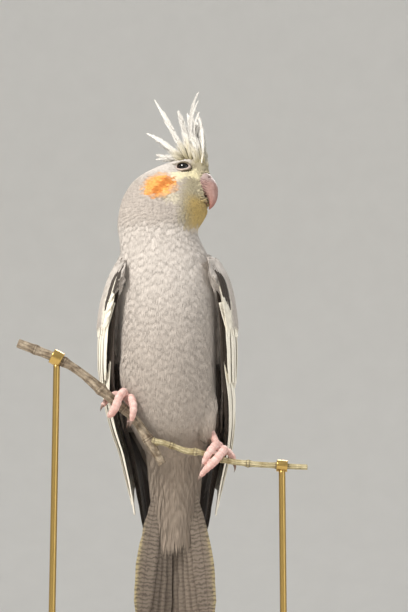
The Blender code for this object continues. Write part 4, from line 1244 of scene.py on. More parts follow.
def coat_piece(name, material, line, up, half_width, rise, barbs, rng, fray=0.16, **layers):
    """A piece of the coat, each feather marked as the skin near its tip. Layers are one number a feather."""
    count = len(line)
    half_width, rise = (np.broadcast_to(values, count) for values in (half_width, rise))
    points, faces, along, owner = fans(line, up, half_width, rise, barbs, 0.05, fray, rng)
    seen = line[:, -1] * 0.6 + line[:, 0] * 0.4
    seen = seen + (line[:, -1] - line[:, 0]) * rng.normal(0, 0.12, (count, 1))
    seen = seen + rng.normal(0, 0.25, (count, 3))
    made = {label: values[owner] for label, values in marks(seen).items()}
    strand = rng.uniform(-1, 1, (count * barbs)).repeat(BARB_POINTS)
    made["tone"] = 0.6 * rng.uniform(-1, 1, count)[owner] + 0.9 * strand
    made["along"] = along
    for label, values in layers.items():
        made[label] = np.maximum(made[label], values[owner])
    root = unwrap(line[:, 0])[owner]
    drift = np.tile(np.linspace(0, 1, BARB_POINTS), count * barbs)
    maps = {"OFBake": root + PATCH * np.stack([drift, along], -1)}
    piece = make_piece(name, points, [faces], material, made, maps, smooth=False)
    return finish_piece(piece, "body_feather")


def feather_sizes(points):
    """Spacing, length and half width of the small feathers, by where they grow."""
    forward = to_head(points)[:, 0]
    height = points[:, 2]
    on_head = smooth_step(height, 96, 112)
    near_bill = smooth_step(forward, 8, 17) * on_head
    near_eye = (1 - smooth_step(eye_distance(points), 1.2, 3.0)) * on_head
    fine = np.maximum(near_bill, near_eye)
    low = 1 - smooth_step(height, -30, 0)
    spacing = (1.95 - 0.9 * on_head) * (1 - 0.35 * fine)
    length = (9.4 - 4.2 * on_head) * (1 - 0.5 * fine) * (1 + 0.7 * low)
    half = (2.5 - 1.35 * on_head) * (1 - 0.42 * fine)
    return spacing, length, half


def on_wing_arm(points):
    """Whether a point of the skin lies on a folded wing, outside the torso's own surface."""
    rows = smooth_read(BODY, points[:, 2])
    reach = np.where(points[:, 1] < rows[:, 2], rows[:, 4], rows[:, 5])
    share = np.hypot((points[:, 0] - rows[:, 1]) / rows[:, 3], (points[:, 1] - rows[:, 2]) / reach)
    return (share > 1.03) & (points[:, 2] < 75) & (points[:, 2] > 0) & (points[:, 1] > -16)


# Pieces of the coat: name, from and to a height, barbs in each feather
COAT_PIECES = (
    ("coat_vent", -60, -6, 13),
    ("coat_loins", -6, 22, 13),
    ("coat_belly", 22, 46, 13),
    ("coat_breast", 46, 68, 13),
    ("coat_chest", 68, 88, 13),
    ("coat_neck", 88, 104, 11),
    ("coat_throat", 104, 114, 9),
    ("coat_cheeks", 114, 122, 9),
    ("coat_crown", 122, 150, 9),
)


def bears_coat(points):
    """Whether the small feathers grow here: not on the bill, the lids, the wing arms or the tail's root."""
    forward, aside, up = to_head(points).T
    in_bill = (forward > 18.8) & (abs(aside) < 4.7) & (up < 8.8) & (up > -7.8) & (points[:, 2] > 104)
    return (eye_distance(points) > 1.16) & ~in_bill & ~on_wing_arm(points) & (points[:, 2] > -16)


def make_coat(skin, material):
    """The small feathers of head, neck, breast, belly, back, thighs and vent, in pieces by height."""
    rng = np.random.default_rng(11)
    points, normals = skin.scattered(220000, rng, bears_coat, lambda spots: feather_sizes(spots)[0])
    _, length, half = feather_sizes(points)
    line, lifted = skin.lines(points, normals, length, 3, 0.07, rng)
    height = points[:, 2]
    rise = np.interp(height, *zip(*COAT_DEPTH)) * rng.uniform(0.95, 1.05, len(points))
    for name, low, high, barbs in COAT_PIECES:
        inside = (height >= low) & (height < high)
        coat_piece(name, material, line[inside], lifted[inside], half[inside], rise[inside], barbs, rng)


def beside_bill(points):
    """Whether a point lies on the ring of skin round the bill's root."""
    forward, aside, up = to_head(points).T
    rim = np.hypot(aside / 5.4, (up - 0.6) / 7.6)
    return (forward > 14.5) & (rim > 0.78) & (rim < 1.35) & (up > -6.5) & (eye_distance(points) > 2.4)


def make_ruff(skin, material):
    """Short soft feathers that overlap the bill's root from the lores and cheeks."""
    rng = np.random.default_rng(61)
    points, normals = skin.scattered(90000, rng, beside_bill, 0.62)
    _, aside, up = to_head(points).T
    count = len(points)
    heading = np.stack([np.full(count, 1.0), -0.12 * aside, np.where(up < 2, -0.45, 0.1)], -1)
    heading = unit(heading + rng.normal(0, 0.14, (count, 3))) @ HEAD[:3, :3].T
    heading = unit(heading + 0.25 * normals)
    length = rng.uniform(1.8, 3.2, count) * (1 - 0.4 * smooth_step(up, 2, 6))
    part = np.linspace(0, 1, 4)[None, :, None]
    line = points[:, None] + heading[:, None] * (length[:, None, None] * part)
    normal = np.repeat(normals[:, None], 4, 1)
    coat_piece("bill_ruff", material, line, normal, 0.62, 0.12, 7, rng, 0.35)


def runs(roots, tips, rows):
    """Parts of a feather's length, and the angles and heights there, from those of its root and its tip."""
    part = np.linspace(0, 1, rows)
    roots, tips = np.array(roots), np.array(tips)
    way = roots[:, None] + (tips - roots)[:, None] * part[:, None]
    return part, way[..., 0], way[..., 1]


# Inner edge of a folded wing: height, angle in degrees. The back's plumage climbs onto it over some degrees.
WING_INNER_EDGE = ((0, 166), (30, 166), (60, 158), (88, 136))
MANTLE_CLIMB = 20


def on_mantle(side, angle, height, sink):
    """Points and normals of plumage that runs from the back up over a wing's inner edge, sunk below it."""

    def spot(angle, height):
        beyond = np.interp(height, *zip(*WING_INNER_EDGE)) + MANTLE_CLIMB - 2 - angle
        body = body_points(side * np.radians(angle), height, 1.0)
        wing = in_wing(side, np.radians(angle), height, -0.06)
        return body + (wing - body) * smooth_step(beyond, 0, MANTLE_CLIMB)[..., None]

    points = spot(angle, height)
    normals = unit(np.cross(spot(angle + 1, height) - points, spot(angle, height + 0.5) - points))
    outward_sign = np.sign(points[..., 1] * normals[..., 1] + points[..., 0] * normals[..., 0])
    normals = normals * outward_sign[..., None]
    return points - normals * sink[..., None], normals


def make_scapulars(side_name, side, material):
    """Soft scapular feathers that close the step between the back and a folded wing."""
    rng = np.random.default_rng(83 + side)
    roots, tips = [], []
    for row, height in enumerate(np.arange(90.0, 24.0, -2.4)):
        inner = np.interp(height, *zip(*WING_INNER_EDGE)) + 15
        for number in range(9):
            angle = inner - 4.2 * (number + 0.5 * (row % 2)) + rng.normal(0, 0.7)
            roots.append((angle, height + rng.normal(0, 0.5)))
            tips.append((angle - rng.uniform(1.5, 4.5), height - rng.uniform(10.5, 13.5)))
    part, angle, height = runs(roots, tips, 5)
    sink = np.interp(part, (0, 0.3, 1), (1.6, 0.8, 0.1)) + rng.uniform(-0.1, 0.1, (len(roots), 1))
    line, out = on_mantle(side, angle, height, sink)
    coat_piece(f"scapulars_{side_name}", material, line, out, 2.7, 0.3, 13, rng)


def make_wing_coat(side_name, side, material):
    """Lesser coverts over the wrist and forearm of a folded wing."""
    rng = np.random.default_rng(23 + side)
    roots, tips, shares = [], [], []
    for row, height in enumerate(np.arange(87.0, 60.0, -2.2)):
        front = np.interp(height, (60, 74, 80, 87), (58, 56, 58, 62))
        back = np.interp(height, (60, 90), (150, 140))
        count = int((back - front) / 4.4)
        for number in range(count):
            angle = front + (number + 0.5 * (row % 2)) * (back - front) / count + rng.normal(0, 0.6)
            low = height - rng.uniform(8.6, 10.0)
            cover = np.interp((height, low), (48, 62, 80, 92), (-0.04, -0.05, 0.0, 0.06))
            roots.append((angle, height + rng.normal(0, 0.4)))
            tips.append((angle + 2.0 + rng.normal(0, 0.8), low))
            shares.append((cover[0] + 0.16, cover[0] * 0.4 + cover[1] * 0.6 + 0.03, cover[1]))
    part, angle, height = runs(roots, tips, 4)
    angle = np.radians(angle)
    share = np.stack([np.interp(part, (0, 0.4, 1), row) for row in shares])
    line = in_wing(side, angle, height, share)
    out = unit(in_wing(side, angle, height, share - 0.15) - line)
    tip_angle, tip_height = np.array(tips).T
    white = (1 - smooth_step(tip_angle, 62, 72)) * (1 - smooth_step(tip_height, 62, 72))
    coat_piece(f"lesser_coverts_{side_name}", material, line, out, 2.4, 0.25, 13, rng, 0.14, white=white)


# Flight, covert and tail feathers, each a thin closed vane with a raised shaft

VANE_COLUMNS = np.array((-1.0, -0.6, -0.13, 0.0, 0.13, 0.6, 1.0))
VANE_PARTS = np.concatenate([np.linspace(0, 0.78, 18), np.linspace(0.81, 1, 11)])

# Outlines of vanes: part of the length, share of the half width
FLIGHT_OUTLINE = (
    (0, 0.3),
    (0.1, 0.62),
    (0.3, 0.92),
    (0.6, 1.0),
    (0.8, 0.92),
    (0.9, 0.74),
    (0.96, 0.5),
    (1, 0.16),
)
COVERT_OUTLINE = ((0, 0.4), (0.15, 0.75), (0.4, 1.0), (0.7, 1.0), (0.86, 0.86), (0.94, 0.62), (1, 0.24))
TAIL_OUTLINE = ((0, 0.3), (0.15, 0.6), (0.3, 0.86), (0.5, 1.0), (0.78, 0.86), (0.92, 0.5), (1, 0.1))


def vane(pile, line, outer, back, half_width, outline, rng, front_share=1.0, back_share=1.0, **layers):
    """Adds a feather's vane, broad towards its back. A layer is a number or a function of part and column."""
    along = unit(np.gradient(line, axis=0))
    outer = unit(outer - along * np.einsum("ij,ij->i", outer, along)[:, None])
    across = np.cross(outer, along)
    across *= np.sign(np.einsum("ij,ij->i", across, back))[:, None]
    part, column = np.meshgrid(VANE_PARTS, VANE_COLUMNS, indexing="ij")
    width = half_width * np.interp(VANE_PARTS, *zip(*outline))
    width = width * (1 + 0.02 * rng.normal(size=len(width)))
    edge = np.ones_like(part)
    for at in (0, -1):
        parted = rng.random(len(width)) < 0.12
        edge[parted, at] = rng.uniform(0.86, 0.96, parted.sum())
    aside = column * np.where(column < 0, front_share, back_share) * width[:, None] * edge
    slant = abs(aside) * 0.55 * (4 * part * (1 - part))
    arch = -0.1 * half_width * column**2
    shaft = np.interp(VANE_PARTS, (0, 1), (0.42, 0.08)) * min(1.0, half_width / 5.0)
    thick = 0.07 + 0.09 * (1 - abs(column))
    rise = np.where(column == 0, shaft[:, None], 0.0)
    spots = line[:, None] + across[:, None] * aside[..., None] + along[:, None] * slant[..., None]
    top = spots + outer[:, None] * (arch + thick + rise)[..., None]
    under = spots + outer[:, None] * (arch - thick - 0.5 * rise)[..., None]
    points, faces = loft(np.concatenate([top, under[:, ::-1]], 1))

    def both(values):
        rows = np.concatenate([values, values[:, ::-1]], 1)
        return np.concatenate([rows.ravel(), [rows[0].mean(), rows[-1].mean()]])

    reach = np.concatenate([[0], np.cumsum(np.linalg.norm(np.diff(line, axis=0), axis=1))])
    flat = (column + 1) / 2
    side = np.concatenate([flat * 0.48, 0.52 + 0.48 * flat[:, ::-1]], 1)
    side = np.concatenate([side.ravel(), [0.25, 0.25]])
    spread = np.stack([side, both(part)], 1)
    made = {"aside": both(aside), "run": both(reach[:, None] + slant), "along": both(part)}
    for label, value in layers.items():
        made[label] = both(value(part, column)) if callable(value) else value
    pile.add(points, faces, spread, tone=rng.uniform(-1, 1), **made)


# Tiers of wing feathers, each from its front feather to its back one. Shares tell how deep a feather lies in
# the wing's thickness at root, middle and tip.
WING_TIERS = {
    "primaries": {
        "count": 10,
        "angles": ((66, 100), (98, 150)),
        "heights": ((36, 6), (-76, -36)),
        "shares": ((0.92, 0.90, 0.95), (0.74, 0.52, 0.08)),
        "half": 4.8,
        "tilt": 0.04,
        "white": 0.0,
    },
    "secondaries": {
        "count": 12,
        "angles": ((64, 156), (78, 172)),
        "heights": ((44, 38), (-38, -8)),
        "shares": ((0.5, 0.1, 0.1), (0.72, 0.28, 0.02)),
        "half": 5.8,
        "tilt": 0.1,
        "white": 0.38,
    },
    "marginal_coverts": {
        "count": 6,
        "angles": ((60, 66), (60, 68)),
        "heights": ((74, 66), (30, -4)),
        "shares": ((0.6, 0.5, 0.45), (0.4, 0.3, 0.26)),
        "half": 2.4,
        "tilt": 0.05,
        "white": 0.0,
    },
    "greater_coverts": {
        "count": 14,
        "angles": ((60, 150), (66, 158)),
        "heights": ((66, 64), (27, 21)),
        "shares": ((0.42, 0.10, 0.08), (0.54, 0.14, 0.03)),
        "half": 4.5,
        "tilt": 0.1,
        "white": 0.5,
    },
    "median_coverts": {
        "count": 15,
        "angles": ((60, 142), (64, 148)),
        "heights": ((78, 78), (50, 45)),
        "shares": ((0.3, 0.06, 0.04), (0.4, 0.08, 0.0)),
        "half": 4.0,
        "tilt": 0.1,
        "white": 0.34,
    },
    "upper_coverts": {
        "count": 17,
        "angles": ((60, 142), (63, 146)),
        "heights": ((84, 86), (63, 61)),
        "shares": ((0.24, 0.04, 0.01), (0.3, 0.04, -0.02)),
        "half": 3.4,
        "tilt": 0.1,
        "white": 0.12,
    },
    "alula": {
        "count": 3,
        "angles": ((56, 62), (56, 64)),
        "heights": ((84, 84), (69, 62)),
        "shares": ((0.2, -0.02, -0.03), (0.2, -0.05, -0.07)),
        "half": 1.9,
        "tilt": 0.05,
        "white": 0.0,
    },
}
# Tiers in the dark vane: the primaries' own dark grey deepened by painted shade, and the alula and marginal
# coverts darkened only as painted shade along the wing's front edge.
DARK_AND_SHADED_TIERS = ("primaries", "alula", "marginal_coverts")


def rim(part, column):
    """How near a place on a vane is to its rim, at the sides or at the tip."""
    return np.maximum(smooth_step(abs(column), 0.6, 1.0), smooth_step(part, 0.94, 1))


def make_wing(side_name, side, dark, light):
    """The feathers of one folded wing, a mesh for each tier; the dark tiers carry painted shade."""
    rng = np.random.default_rng(31 + side)
    part = VANE_PARTS
    for name, tier in WING_TIERS.items():
        pile = Pile()
        dark_and_shaded = name in DARK_AND_SHADED_TIERS
        outline = FLIGHT_OUTLINE if tier["half"] > 4.6 or dark_and_shaded else COVERT_OUTLINE
        for number in range(tier["count"]):
            place = number / (tier["count"] - 1)
            (root_angle, tip_angle), (top, low) = (
                [np.interp(place, (0, 1), pair) for pair in tier[label]] for label in ("angles", "heights")
            )
            start = root_angle + rng.normal(0, 0.7)
            swing = tip_angle - root_angle + rng.normal(0, 0.8)
            angle = np.radians(start + swing * part)
            height = top + (low + rng.normal(0, 0.8) - top) * part
            shares = [np.interp(place, (0, 1), pair) for pair in zip(*tier["shares"])]
            share = np.interp(part, (0, 0.3, 1), shares)
            line = in_wing(side, angle, height, share)
            outer = unit(in_wing(side, angle, height, share - 0.1) - line)
            back = unit(in_wing(side, angle + 0.05, height, share) - line)
            outer = unit(outer + 2.2 * tier["tilt"] * back)
            white = 0.0
            if tier["white"]:
                white = 1 - smooth_step(place, tier["white"] - 0.06, tier["white"] + 0.06)
            edge = 0.1 if dark_and_shaded else 0.5 * (1 - 0.85 * white)
            vane(
                pile,
                line,
                outer,
                back,
                tier["half"],
                outline,
                rng,
                0.75,
                1.1,
                mark=lambda p, c, white=white: white * (1 - 0.3 * smooth_step(c, 0.3, 1.0)),
                edge=lambda p, c, edge=edge: edge * rim(p, c),
                bars=0.0,
                quill=0.15 if white > 0.5 else 0.5,
            )
        pile.make(f"{name}_{side_name}", dark if dark_and_shaded else light, "wing_feather", f"wing_{side_name}")


def make_tail(material):
    """Twelve long tail feathers in pairs, the middle pair longest and uppermost."""
    rng = np.random.default_rng(5)
    pile = Pile()
    for number, (tip, aside_tip, aside_root) in enumerate(TAIL_PAIRS):
        for side in (-1, 1):
            part = VANE_PARTS
            height = TAIL_ROOT + (tip - TAIL_ROOT) * part
            aside = aside_root + (aside_tip - aside_root) * (1 - (1 - part) ** 1.7)
            level = 2 * number + (side > 0) if number < 3 else number + 3
            line = tail_points(side * aside, height, 2.4 - TAIL_PITCH * level)
            outer = np.tile((-0.05 * side, 1.0, 0.07), (len(part), 1))
            back = np.tile((-float(side), 0.0, 0.0), (len(part), 1))
            outermost = float(number == 5)
            vane(
                pile,
                line,
                outer,
                back,
                TAIL_HALF_WIDTH,
                TAIL_OUTLINE,
                rng,
                0.85,
                1.05,
                mark=0.0,
                edge=lambda p, c, far=outermost: smooth_step(-c, 0.5, 0.95) * smooth_step(p, 0.2, 0.4) * far,
                bars=0.35 + 0.1 * number,
                quill=0.6,
            )
    return pile.make("tail_feathers", material, "tail_feather", "tail")


# Outer face of the coverts round the tail's root: height, half width, reach to the front, reach to the back
TAIL_COVER = (
    (-64.0, 8.0, 6.2, 3.7),
    (-48.0, 10.4, 6.3, 4.0),
    (-36.0, 11.8, 6.8, 5.2),
    (-26.0, 12.8, 7.8, 7.6),
    (-16.0, 13.8, 10.2, 10.6),
    (-8.4, 14.6, 12.4, 12.6),
    (2.0, 15.4, 13.0, 13.0),
)


def on_tail_cover(angle, height, sink):
    """Points on the outer face of the tail's coverts, sunk below it. Angle 0 faces the front."""
    rows = smooth_read(TAIL_COVER, height.ravel())
    half, front, back = (rows[:, i].reshape(height.shape) - sink for i in (1, 2, 3))
    lift = np.where(np.cos(angle) > 0, -front, back) * abs(np.cos(angle)) ** 0.8
    return tail_points(half * np.sin(angle), height, lift)


def make_tail_coverts(material):
    """Long soft coverts over and under the roots of the tail feathers."""
    rng = np.random.default_rng(47)
    roots, tips = [], []
    for row, height in enumerate(np.arange(0.0, -41.0, -2.6)):
        for number in range(22):
            angle = 2 * math.pi * (number + 0.5 * (row % 2)) / 22 + rng.normal(0, 0.03)
            roots.append((angle, height))
            tips.append((angle, 1.1 * height - rng.uniform(14, 18)))
    part, angle, height = runs(roots, tips, 5)
    sink = np.interp(part, (0, 0.3, 1), (1.6, 0.7, 0.1)) + rng.uniform(-0.1, 0.15, (len(roots), 1))
    line = on_tail_cover(angle, height, sink)
    out = unit(line - on_tail_cover(angle, height, sink + 0.5))
    coat_piece("tail_coverts", material, line, out, 2.9, 0.2, 13, rng, 0.2)


def plume(pile, line, across, outer, half_width, spacing, slope, rng):
    """Adds a loose crest feather: a thin shaft with slender barbs set along both its sides."""
    length = np.linalg.norm(np.diff(line, axis=0), axis=1).sum()
    count = int(length / spacing)
    read, at = curve_through(line, count)
    part = at / at[-1]
    along = unit(np.gradient(read, axis=0))
    wide = unit(np.cross(np.cross(along, across), along))
    up = unit(np.cross(wide, along))
    up *= np.sign(np.einsum("ij,ij->i", up, np.tile(outer, (count, 1))))[:, None]
    reach = half_width * np.interp(part, (0, 0.12, 0.4, 0.7, 0.92, 1), (0.6, 1.0, 1.0, 0.64, 0.3, 0.12))
    tone = rng.uniform(-1, 1)
    points, owners = [], []
    for side in (-1, 1):
        angle = slope * rng.normal(1, 0.14, count) * np.interp(part, (0, 0.6, 1), (1.1, 0.9, 0.45))
        long = reach / np.sin(angle) * rng.uniform(0.75, 1.12, count)
        heading = along * np.cos(angle)[:, None] + wide * (side * np.sin(angle))[:, None]
        middle = read[:, None] + heading[:, None] * (long[:, None] * BARB_ROWS)[..., None]
        bend = (0.1 * long[:, None] * BARB_ROWS**2)[..., None]
        middle = middle + (up[:, None] * rng.normal(0, 0.6, (count, 1, 1)) + along[:, None]) * bend
        own = 0.8 * spacing * math.sin(slope) * BARB_WIDTHS[None, :, None]
        flat = unit(np.cross(up, heading))[:, None]
        left, right, top = middle - flat * own, middle + flat * own, middle + up[:, None] * 0.08
        body = np.stack([left, top, right], 2)[:, :2].reshape(count, 6, 3)
        points.append(np.concatenate([body, middle[:, 2:]], 1))
        owners.append(np.repeat(part, BARB_POINTS))
    barbs = np.concatenate(points)
    base = np.arange(len(barbs))[:, None, None] * BARB_POINTS
    faces = (BARB_FACES[None] + base).reshape(-1, 3)
    faces = outward_like(barbs[0], BARB_FACES, faces)
    along_layer = np.concatenate(owners)
    drift = np.tile(np.linspace(0, 1, BARB_POINTS), len(barbs))
    pile.add(barbs.reshape(-1, 3), [faces], np.stack([drift, along_layer], 1), along=along_layer, tone=tone)
    shaft = np.column_stack([read, np.interp(part, (0, 1), (0.3, 0.08))])[:: max(1, count // 24)]
    shaft_points, shaft_faces = tube(shaft, 6, 26)
    pile.add(shaft_points, shaft_faces, None, along=0.6, tone=tone)


def crest_line(root, aside, middle, tip):
    """A crest feather's middle line, through its middle point, in the bird's frame."""
    part = np.linspace(0, 1, 12)[:, None]
    ends = np.array([(*root, aside), (*middle, aside * 1.25), (*tip, aside * 1.5)], float)
    bend = 2 * ends[1] - (ends[0] + ends[2]) / 2
    line = (1 - part) ** 2 * ends[0] + 2 * part * (1 - part) * bend + part**2 * ends[2]
    return from_head(line[:, [0, 2, 1]])


def on_crown(points):
    """Whether a point lies on the crown, where the crest rises."""
    forward, aside, up = to_head(points).T
    return (forward > 6.0) & (forward < 18.6) & (abs(aside) < 3.9) & (up > 13.0)


# Tuft under the crest: distance along the head, and there the lean in degrees or the length of its feathers
TUFT_LEAN = ((6, 74), (8, 54), (9.5, 34), (11, 22), (14, 12), (18, 6))
TUFT_LENGTH = ((6, 7), (8, 11), (11, 15), (15, 13), (18.6, 6.5))


def add_tuft(pile, skin, rng):
    """Adds the dense short feathers of the crown."""
    points, _ = skin.scattered(80000, rng, on_crown, 0.8)
    forward, aside, _ = to_head(points).T
    count = len(points)
    lean = np.radians(np.interp(forward, *zip(*TUFT_LEAN)) + rng.normal(0, 6, count))
    length = np.interp(forward, *zip(*TUFT_LENGTH)) * rng.uniform(0.6, 1.15, count)
    heading = np.stack([-np.sin(lean), 0.07 * aside + rng.normal(0, 0.08, count), np.cos(lean)], -1)
    heading = unit(heading) @ HEAD[:3, :3].T
    part = np.linspace(0, 1, 5)[None, :, None]
    curl = (-0.16 * HEAD[:3, 0] + rng.normal(0, 0.05, (count, 3)))[:, None]
    line = points[:, None] + length[:, None, None] * (heading[:, None] * part + curl * part**2)
    facing = np.repeat(unit(rng.normal(0, 0.35, (count, 3)) - HEAD[:3, 1])[:, None], 5, 1)
    half = rng.uniform(0.9, 1.4, count)
    tuft, faces, along, owner = fans(line, facing, half, np.zeros(count), 9, 0.06, 0.35, rng)
    tone = rng.uniform(-1, 1, count)[owner]
    drift = np.tile(np.linspace(0, 1, BARB_POINTS), len(tuft) // BARB_POINTS)
    pile.add(tuft, [faces], np.stack([drift, along], 1), along=along * 0.3, tone=tone)


def make_crest(skin, material):
    """The raised crest: main feathers with shorter, finer ones beside them, over a dense tuft."""
    rng = np.random.default_rng(3)
    pile = Pile()
    cheek = HEAD[:3, 1]
    slope = math.radians(24)
    for number, (root, aside, middle, tip, half_width) in enumerate(CREST):
        line = crest_line(root, aside, middle, tip)
        heading = unit(line[-1] - line[0])
        twist = 0.35 if number % 2 else -0.3
        across = np.cross(cheek, heading) + twist * cheek
        plume(pile, line, across, -cheek, half_width * 1.3, 0.42, slope, rng)
        for share in (0.84, 0.68, 0.5):
            shift = rng.normal(0, 0.9, 3)
            near = tuple(a + (b - a) * share + s for a, b, s in zip(root, tip, shift[:2]))
            mid = tuple(a + (b - a) * share + 0.4 * s for a, b, s in zip(root, middle, shift[:2]))
            line = crest_line(root, aside + shift[2], mid, near)
            plume(pile, line, across, -cheek, half_width, 0.48, slope, rng)
    add_tuft(pile, skin, rng)
    return pile.make("crest_feathers", material, "crest_feather", "crest")


# Bill, eyes and lids


def bill_shape(spine, inflate):
    """One horn piece of the bill over its spine, in the bird's frame."""
    rows = np.asarray(spine, float)
    knots = np.arange(len(rows), dtype=float)
    read = smooth_read(np.column_stack([knots, rows]), np.linspace(0, len(rows) - 1, 36))[:, 1:]
    middle = read[:, :2].copy()
    along = unit(np.gradient(middle, axis=0))
    middle[0] -= along[0] * inflate
    above = np.stack([-along[:, 1], along[:, 0]], -1)
    turn = np.linspace(0, 2 * math.pi, 32, endpoint=False)
    ridge = 1 - 0.12 * np.maximum(np.sin(turn), 0) ** 2
    rings = []
    for at, out, half_height, half_width in zip(middle, above, read[:, 2], read[:, 3]):
        high = (max(half_height, 0.25) + inflate) * np.sin(turn)
        wide = (max(half_width, 0.25) + inflate) * np.cos(turn) * ridge
        flat = at[None, :] + high[:, None] * out[None, :]
        rings.append(from_head(np.column_stack([flat[:, 0], wide, flat[:, 1]])))
    return loft(rings)


def make_bill(material):
    """The hooked upper half with its soft base and nostrils, and the lower half under it."""
    spot, radii = NOSTRIL
    nostrils = [head_ball((spot[0], side * spot[1], spot[2]), radii, sides=16, rows=10) for side in (-1, 1)]
    for name, shapes, cutters, node in (
        ("upper_bill", [bill_shape(UPPER_BILL, 0.0), head_ball(*SOFT_BASE)], nostrils, "bill_upper"),
        ("lower_bill", [bill_shape(LOWER_BILL, 0.0)], [bill_shape(UPPER_BILL, 0.2)], "bill_lower"),
    ):
        points, faces = fused(shapes, 0.2, cutters, 3)
        forward, _, up = to_head(points).T
        layers = {
            "cere": smooth_step(up, 2.5, 6.0),
            "tip": smooth_step(-up, 2.0, 9.0),
            "rise": up + 0.25 * forward,
            "creased": (1 - smooth_step(forward, 21.2, 23.6)) * (1 - smooth_step(up, 4.0, 6.5)),
        }
        finish_piece(make_piece(name, points, faces, material, layers), "bill_horn", node)


# Section of a lid: share of its width from the eye's opening out, distance from the eye's middle
LID_PROFILE = (
    (0.0, 3.72),
    (0.0, 3.95),
    (0.03, 4.15),
    (0.1, 4.3),
    (0.2, 4.33),
    (0.32, 4.27),
    (0.45, 4.2),
    (0.6, 4.1),
    (0.8, 3.95),
    (1.0, 3.8),
    (1.0, 3.62),
    (0.5, 3.62),
    (0.1, 3.65),
)


def make_eyes(eye, lid):
    """Each eye with its pupil and iris, and the bare ring of its lids."""
    for name, side in (("right", -1), ("left", 1)):
        middle = (EYE_FORWARD, side * EYE_APART, EYE_UP)
        gaze = unit(np.array([0.12, side, 0.02]))
        points, faces = ball((0, 0, 0), (EYE_RADIUS,) * 3, sides=48, rows=32)
        angle = np.arccos(np.clip(unit(points) @ gaze, -1, 1))
        points = points * (1 + 0.05 * (1 - smooth_step(angle, 0.2, 0.75)))[:, None]
        layers = {"gaze": angle / math.radians(60)}
        obj = make_piece(f"eyeball_{name}", from_head(points + middle), faces, eye, layers)
        finish_piece(obj, "eye", f"eye_{name}")
        turn = np.linspace(0, 2 * math.pi, 72, endpoint=False)
        high = np.where(np.sin(turn) > 0, EYE_OPENING[1] - 0.5, EYE_OPENING[1] - 0.05)
        edge = 1 / np.hypot(np.cos(turn) / EYE_OPENING[0], np.sin(turn) / high)
        far = 1 / np.hypot(np.cos(turn) / (EYE_OPENING[0] + 0.95), np.sin(turn) / (EYE_OPENING[1] + 0.85))
        far = far * (1 + 0.05 * np.sin(3 * turn + 0.7) + 0.03 * np.sin(7 * turn))
        rings, lows = [], []
        for share, radius in LID_PROFILE:
            reach = np.minimum(edge + (far - edge) * share, radius - 0.02)
            rise = np.sqrt(np.maximum(radius**2 - reach**2, 0.01))
            ring = np.column_stack([reach * np.cos(turn), side * rise, reach * np.sin(turn)])
            rings.append(from_head(ring + middle))
            # The lower lid's mask; the rest of the ring takes the painted shade of the upper lid.
            lows.append((1 - smooth_step(np.sin(turn), -0.15, 0.5)) * (1 - smooth_step(share, 0.35, 0.8)))
        quads = band(len(LID_PROFILE), len(turn), closed=True)
        layers = {"low": np.concatenate(lows)}
        obj = make_piece(f"eyelid_{name}", np.concatenate(rings), [quads], lid, layers)
        finish_piece(obj, "foot_skin")


# Feet and claws


def nearest_on_lines(points, lines):
    """The nearest of several lines to each point, how far along it the point lies, and its turn round it."""
    best = np.full(len(points), 1e9)
    run, turn, owner = np.zeros((3, len(points)))
    for number, stations in enumerate(lines):
        read, at = curve_through(stations, 160)
        gap = np.linalg.norm(points[:, None] - read[None, :, :3], axis=2)
        pick = gap.argmin(1)
        near = gap[np.arange(len(points)), pick] - read[pick, 3]
        closer = near < best
        best[closer] = near[closer]
        run[closer] = at[pick[closer]]
        off = points - read[pick, :3]
        turn[closer] = np.arctan2(off[:, 2], off[:, 1])[closer]
        owner[closer] = number
    return owner, run, turn


def normals_of(points, faces):
    """Smoothed normals at the points of a mesh."""
    total = np.zeros_like(points)
    for group in faces:
        flat = np.cross(points[group[:, 1]] - points[group[:, 0]], points[group[:, 2]] - points[group[:, 0]])
        for column in range(group.shape[1]):
            np.add.at(total, group[:, column], flat)
    return unit(total)


SCUTE_LENGTH = 1.0
PAD_LENGTH = 2.9


def pads(at, turn):
    """Relief of the pads along a toe."""
    return -0.09 * np.cos(2 * math.pi * at / PAD_LENGTH)


